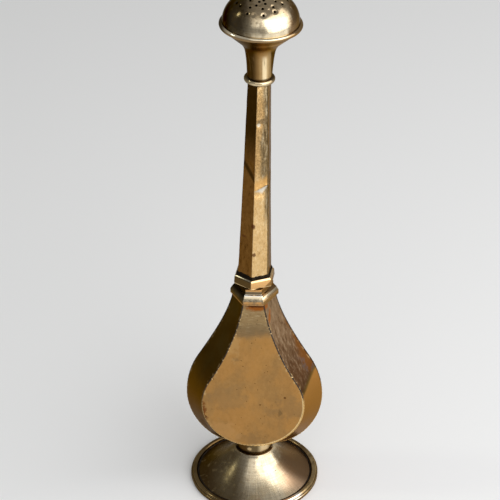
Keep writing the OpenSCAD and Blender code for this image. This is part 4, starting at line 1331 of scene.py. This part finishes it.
def cup_outline():
    start, bend, throat = Vector((6.05, 0)), Vector((6.2, 7.15)), Vector((7.25, 13))
    outer = []
    for i in range(9):
        t = i / 9
        p = (1 - t) ** 2 * start + 2 * (1 - t) * t * bend + t * t * throat
        d = ((1 - t) * (bend - start) + t * (throat - bend)).normalized()
        outer.append((p, math.atan2(d.x, d.y)))
    lead = math.atan2(throat.x - bend.x, throat.y - bend.y)
    centre = throat + 9 * Vector((math.cos(lead), -math.sin(lead)))
    for i in range(15):
        a = lead + (math.radians(48) - lead) * i / 14
        outer.append((centre + 9 * Vector((-math.cos(a), math.sin(a))), a))
    last, lip = outer[-1], Vector((rose_r, cup_h - 0.8))
    way = math.atan2(lip.x - last[0].x, lip.y - last[0].y)
    for i in range(1, 4):
        outer.append((last[0].lerp(lip, i / 4), way))
    inner = [p + 0.9 * Vector((-math.cos(a), math.sin(a))) for p, a in outer if p.y > 9]
    return ([(4.4, 0)] + [tuple(p) for p, a in outer] + [tuple(lip), (rose_r, cup_h), (rose_r - 0.9, cup_h)]
            + [tuple(p) for p in inner[::-1]] + [(4.4, 8.5)])


cup = turned("rose_cup_spun", [(r, z + cup_z) for r, z in cup_outline()], sides=160)
on_neck(cup)
uneven(cup, 10, 0.16)
smooth(cup, 40)
hand_over(cup, "neck", cup_brass, "rose_brass", "rose_cup")

# %% Seam wire
seam_z = cup_z + cup_h
wire = turned("rose_seam_wire_bent", [(rose_r, seam_z - 0.58)] + arc(rose_r + 0.2, seam_z + 0.6, 1.2, -99, 99, 16)
              + [(rose_r, seam_z + 1.78)], sides=160)
on_neck(wire)
uneven(wire, 6, 0.14)
smooth(wire, 40)
hand_over(wire, "neck", wire_brass, "rose_brass", "rose_seam_wire")

# %% Where the punch went in
front_holes = [(-24.5, 14.4), (6.5, 14.4), (30, 13.4), (-65, 12.5), (-49, 12.6), (-24, 11.8), (-11, 10.4), (5, 11.8),
               (31, 11.4), (59, 11.6), (88, 12.3), (13, 9.4), (-35, 8.6), (-5, 8.3), (47, 9.2), (10, 7.4)]


def hole_ring(r, count, first, last):
    return [(first + (last - first) * i / (count - 1) + 4 * math.sin(math.radians(137 * i + 40 * r)),
             r + 0.5 * math.sin(math.radians(211 * i + 60 * r))) for i in range(count)]


holes = (front_holes + hole_ring(11.6, 8, 112, 270) + hole_ring(13.8, 6, 120, 262) + hole_ring(8.2, 6, 88, 292)
         + hole_ring(4.6, 7, 10, 318) + [(0, 0.4)])
dome_h = 15.3


def on_dome(piece, angle, r, lift=0.0):
    """Stands an upright little piece on the dome, square to its surface."""
    z = dome_h * math.sqrt(1 - (r / rose_r) ** 2)
    tilt = math.atan2(r / rose_r ** 2, z / dome_h ** 2)
    a = math.radians(angle - 90)
    out = Vector((math.sin(tilt) * math.cos(a), math.sin(tilt) * math.sin(a), math.cos(tilt)))
    spot = Vector((r * math.cos(a), r * math.sin(a), seam_z + 1.9 + z)) + out * lift
    piece.rotation_euler = (0, tilt, a)
    piece.location = spot * mm
    return settle(piece)


def pin(i, angle, r):
    pick()
    bpy.ops.mesh.primitive_cylinder_add(vertices=20, radius=0.65 * mm, depth=5 * mm)
    return on_dome(bpy.context.object, angle, r)


def dome_outline(shrink, steps):
    return [((rose_r - shrink) * math.cos(math.radians(90 * i / steps)),
             seam_z + 1.9 + (dome_h - shrink) * math.sin(math.radians(90 * i / steps))) for i in range(steps)]


def close_holes(piece):
    pick(piece)
    bpy.ops.object.mode_set(mode="EDIT")
    bpy.ops.mesh.select_mode(type="EDGE")
    bpy.ops.mesh.select_all(action="DESELECT")
    bpy.ops.mesh.select_non_manifold()
    bpy.ops.mesh.fill_holes(sides=0)
    bpy.ops.object.mode_set(mode="OBJECT")
    return clean(piece)


dome = turned("rose_dome_raised", dome_outline(0.8, 24)[::-1] + [(rose_r - 0.8, seam_z), (rose_r, seam_z)]
              + dome_outline(0, 70), sides=240, closed=False)
close_holes(dome)

# %% [markdown]
# The punch pushed the sheet in round each hole. So before the holes are cut, the dome is pressed in
# there: a vertex group is strong near each hole and fades out, and Displace follows it. A few dimples
# have no hole, where the punch didn't go through.

# %% Dimples and holes
def spot_on_dome(angle, r):
    a = math.radians(angle - 90)
    return Vector((r * math.cos(a), r * math.sin(a), seam_z + 1.9 + dome_h * math.sqrt(1 - (r / rose_r) ** 2)))


dimples = [(spot_on_dome(*h), 1.0) for h in holes]
dimples += [(spot_on_dome(a, r), 0.7) for a, r in ((-12, 14.5), (70, 14.4), (-30, 13.2), (20, 12.6), (-70, 15.0))]
group = dome.vertex_groups.new(name="dimples")
for v in dome.data.vertices:
    here = v.co / mm
    near = max((depth * max(0.0, 1 - (here - spot).length / 1.75) for spot, depth in dimples), default=0)
    if near > 0:
        group.add([v.index], near * near * (3 - 2 * near), "REPLACE")
modify(dome, "DISPLACE", vertex_group="dimples", strength=-0.42 * mm, mid_level=0.0)
pins = joined("pins", *[pin(i, *h) for i, h in enumerate(holes)])
modify(dome, "BOOLEAN", operation="DIFFERENCE", object=pins, solver="EXACT")
bpy.data.objects.remove(pins)
on_neck(dome)
uneven(dome, 10, 0.16)
smooth(dome, 40)
hand_over(dome, "neck", rose_brass, "rose_brass", "rose_dome")
print("holes in the dome:", len(holes))

# %% [markdown]
# ## Floor, light and camera

# %% Studio
def plain(name, colour, rough=0.8):
    material = bpy.data.materials.new(name)
    material.use_nodes = True
    shader = material.node_tree.nodes["Principled BSDF"]
    shader.inputs["Base Color"].default_value = (*colour, 1)
    shader.inputs["Roughness"].default_value = rough
    shader.inputs["Specular IOR Level"].default_value = 0.0
    return material


pick()
bpy.ops.mesh.primitive_plane_add(size=6, location=(0, 0, 0))
floor = bpy.context.object
floor.name = "floor"
floor.data.materials.append(plain("Pale floor", (0.9, 0.9, 0.9), 1.0))

world = bpy.data.worlds.new("Pale studio")
bpy.context.scene.world = world
world.use_nodes = True
world.node_tree.nodes["Background"].inputs["Color"].default_value = (0.9, 0.9, 0.9, 1)
world.node_tree.nodes["Background"].inputs["Strength"].default_value = 0.42


def lamp(name, place, target, size, power, colour=(1, 1, 1)):
    pick()
    bpy.ops.object.light_add(type="AREA", location=place)
    light = bpy.context.object
    light.name = name
    light.data.shape = "RECTANGLE"
    light.data.size, light.data.size_y = size
    light.data.energy = power
    light.data.color = colour
    light.rotation_euler = (Vector(target) - Vector(place)).to_track_quat("-Z", "Y").to_euler()
    return light


lamp("key", (0.975, -0.518, 0.727), (0, 0, 0.14), (2.1, 1.35), 22)
lamp("front", (-0.084, -0.96, 1.01), (0, 0, 0.14), (0.9, 0.9), 2.0)
lamp("window", (-2.45, -0.13, 1.88), (0, 0, 0.14), (0.36, 0.46), 5.4, (0.93, 1.0, 0.88))

pick()
bpy.ops.object.camera_add(location=(0.03942, -0.80604, 0.6427),
                          rotation=(math.radians(58.13), 0, math.radians(2.8)))
camera = bpy.context.object
camera.data.lens = 136.8
camera.data.sensor_width = 36
camera.data.shift_x = -0.0088
camera.data.clip_start = 0.01
bpy.context.scene.camera = camera
bpy.context.scene.view_settings.view_transform = "Standard"
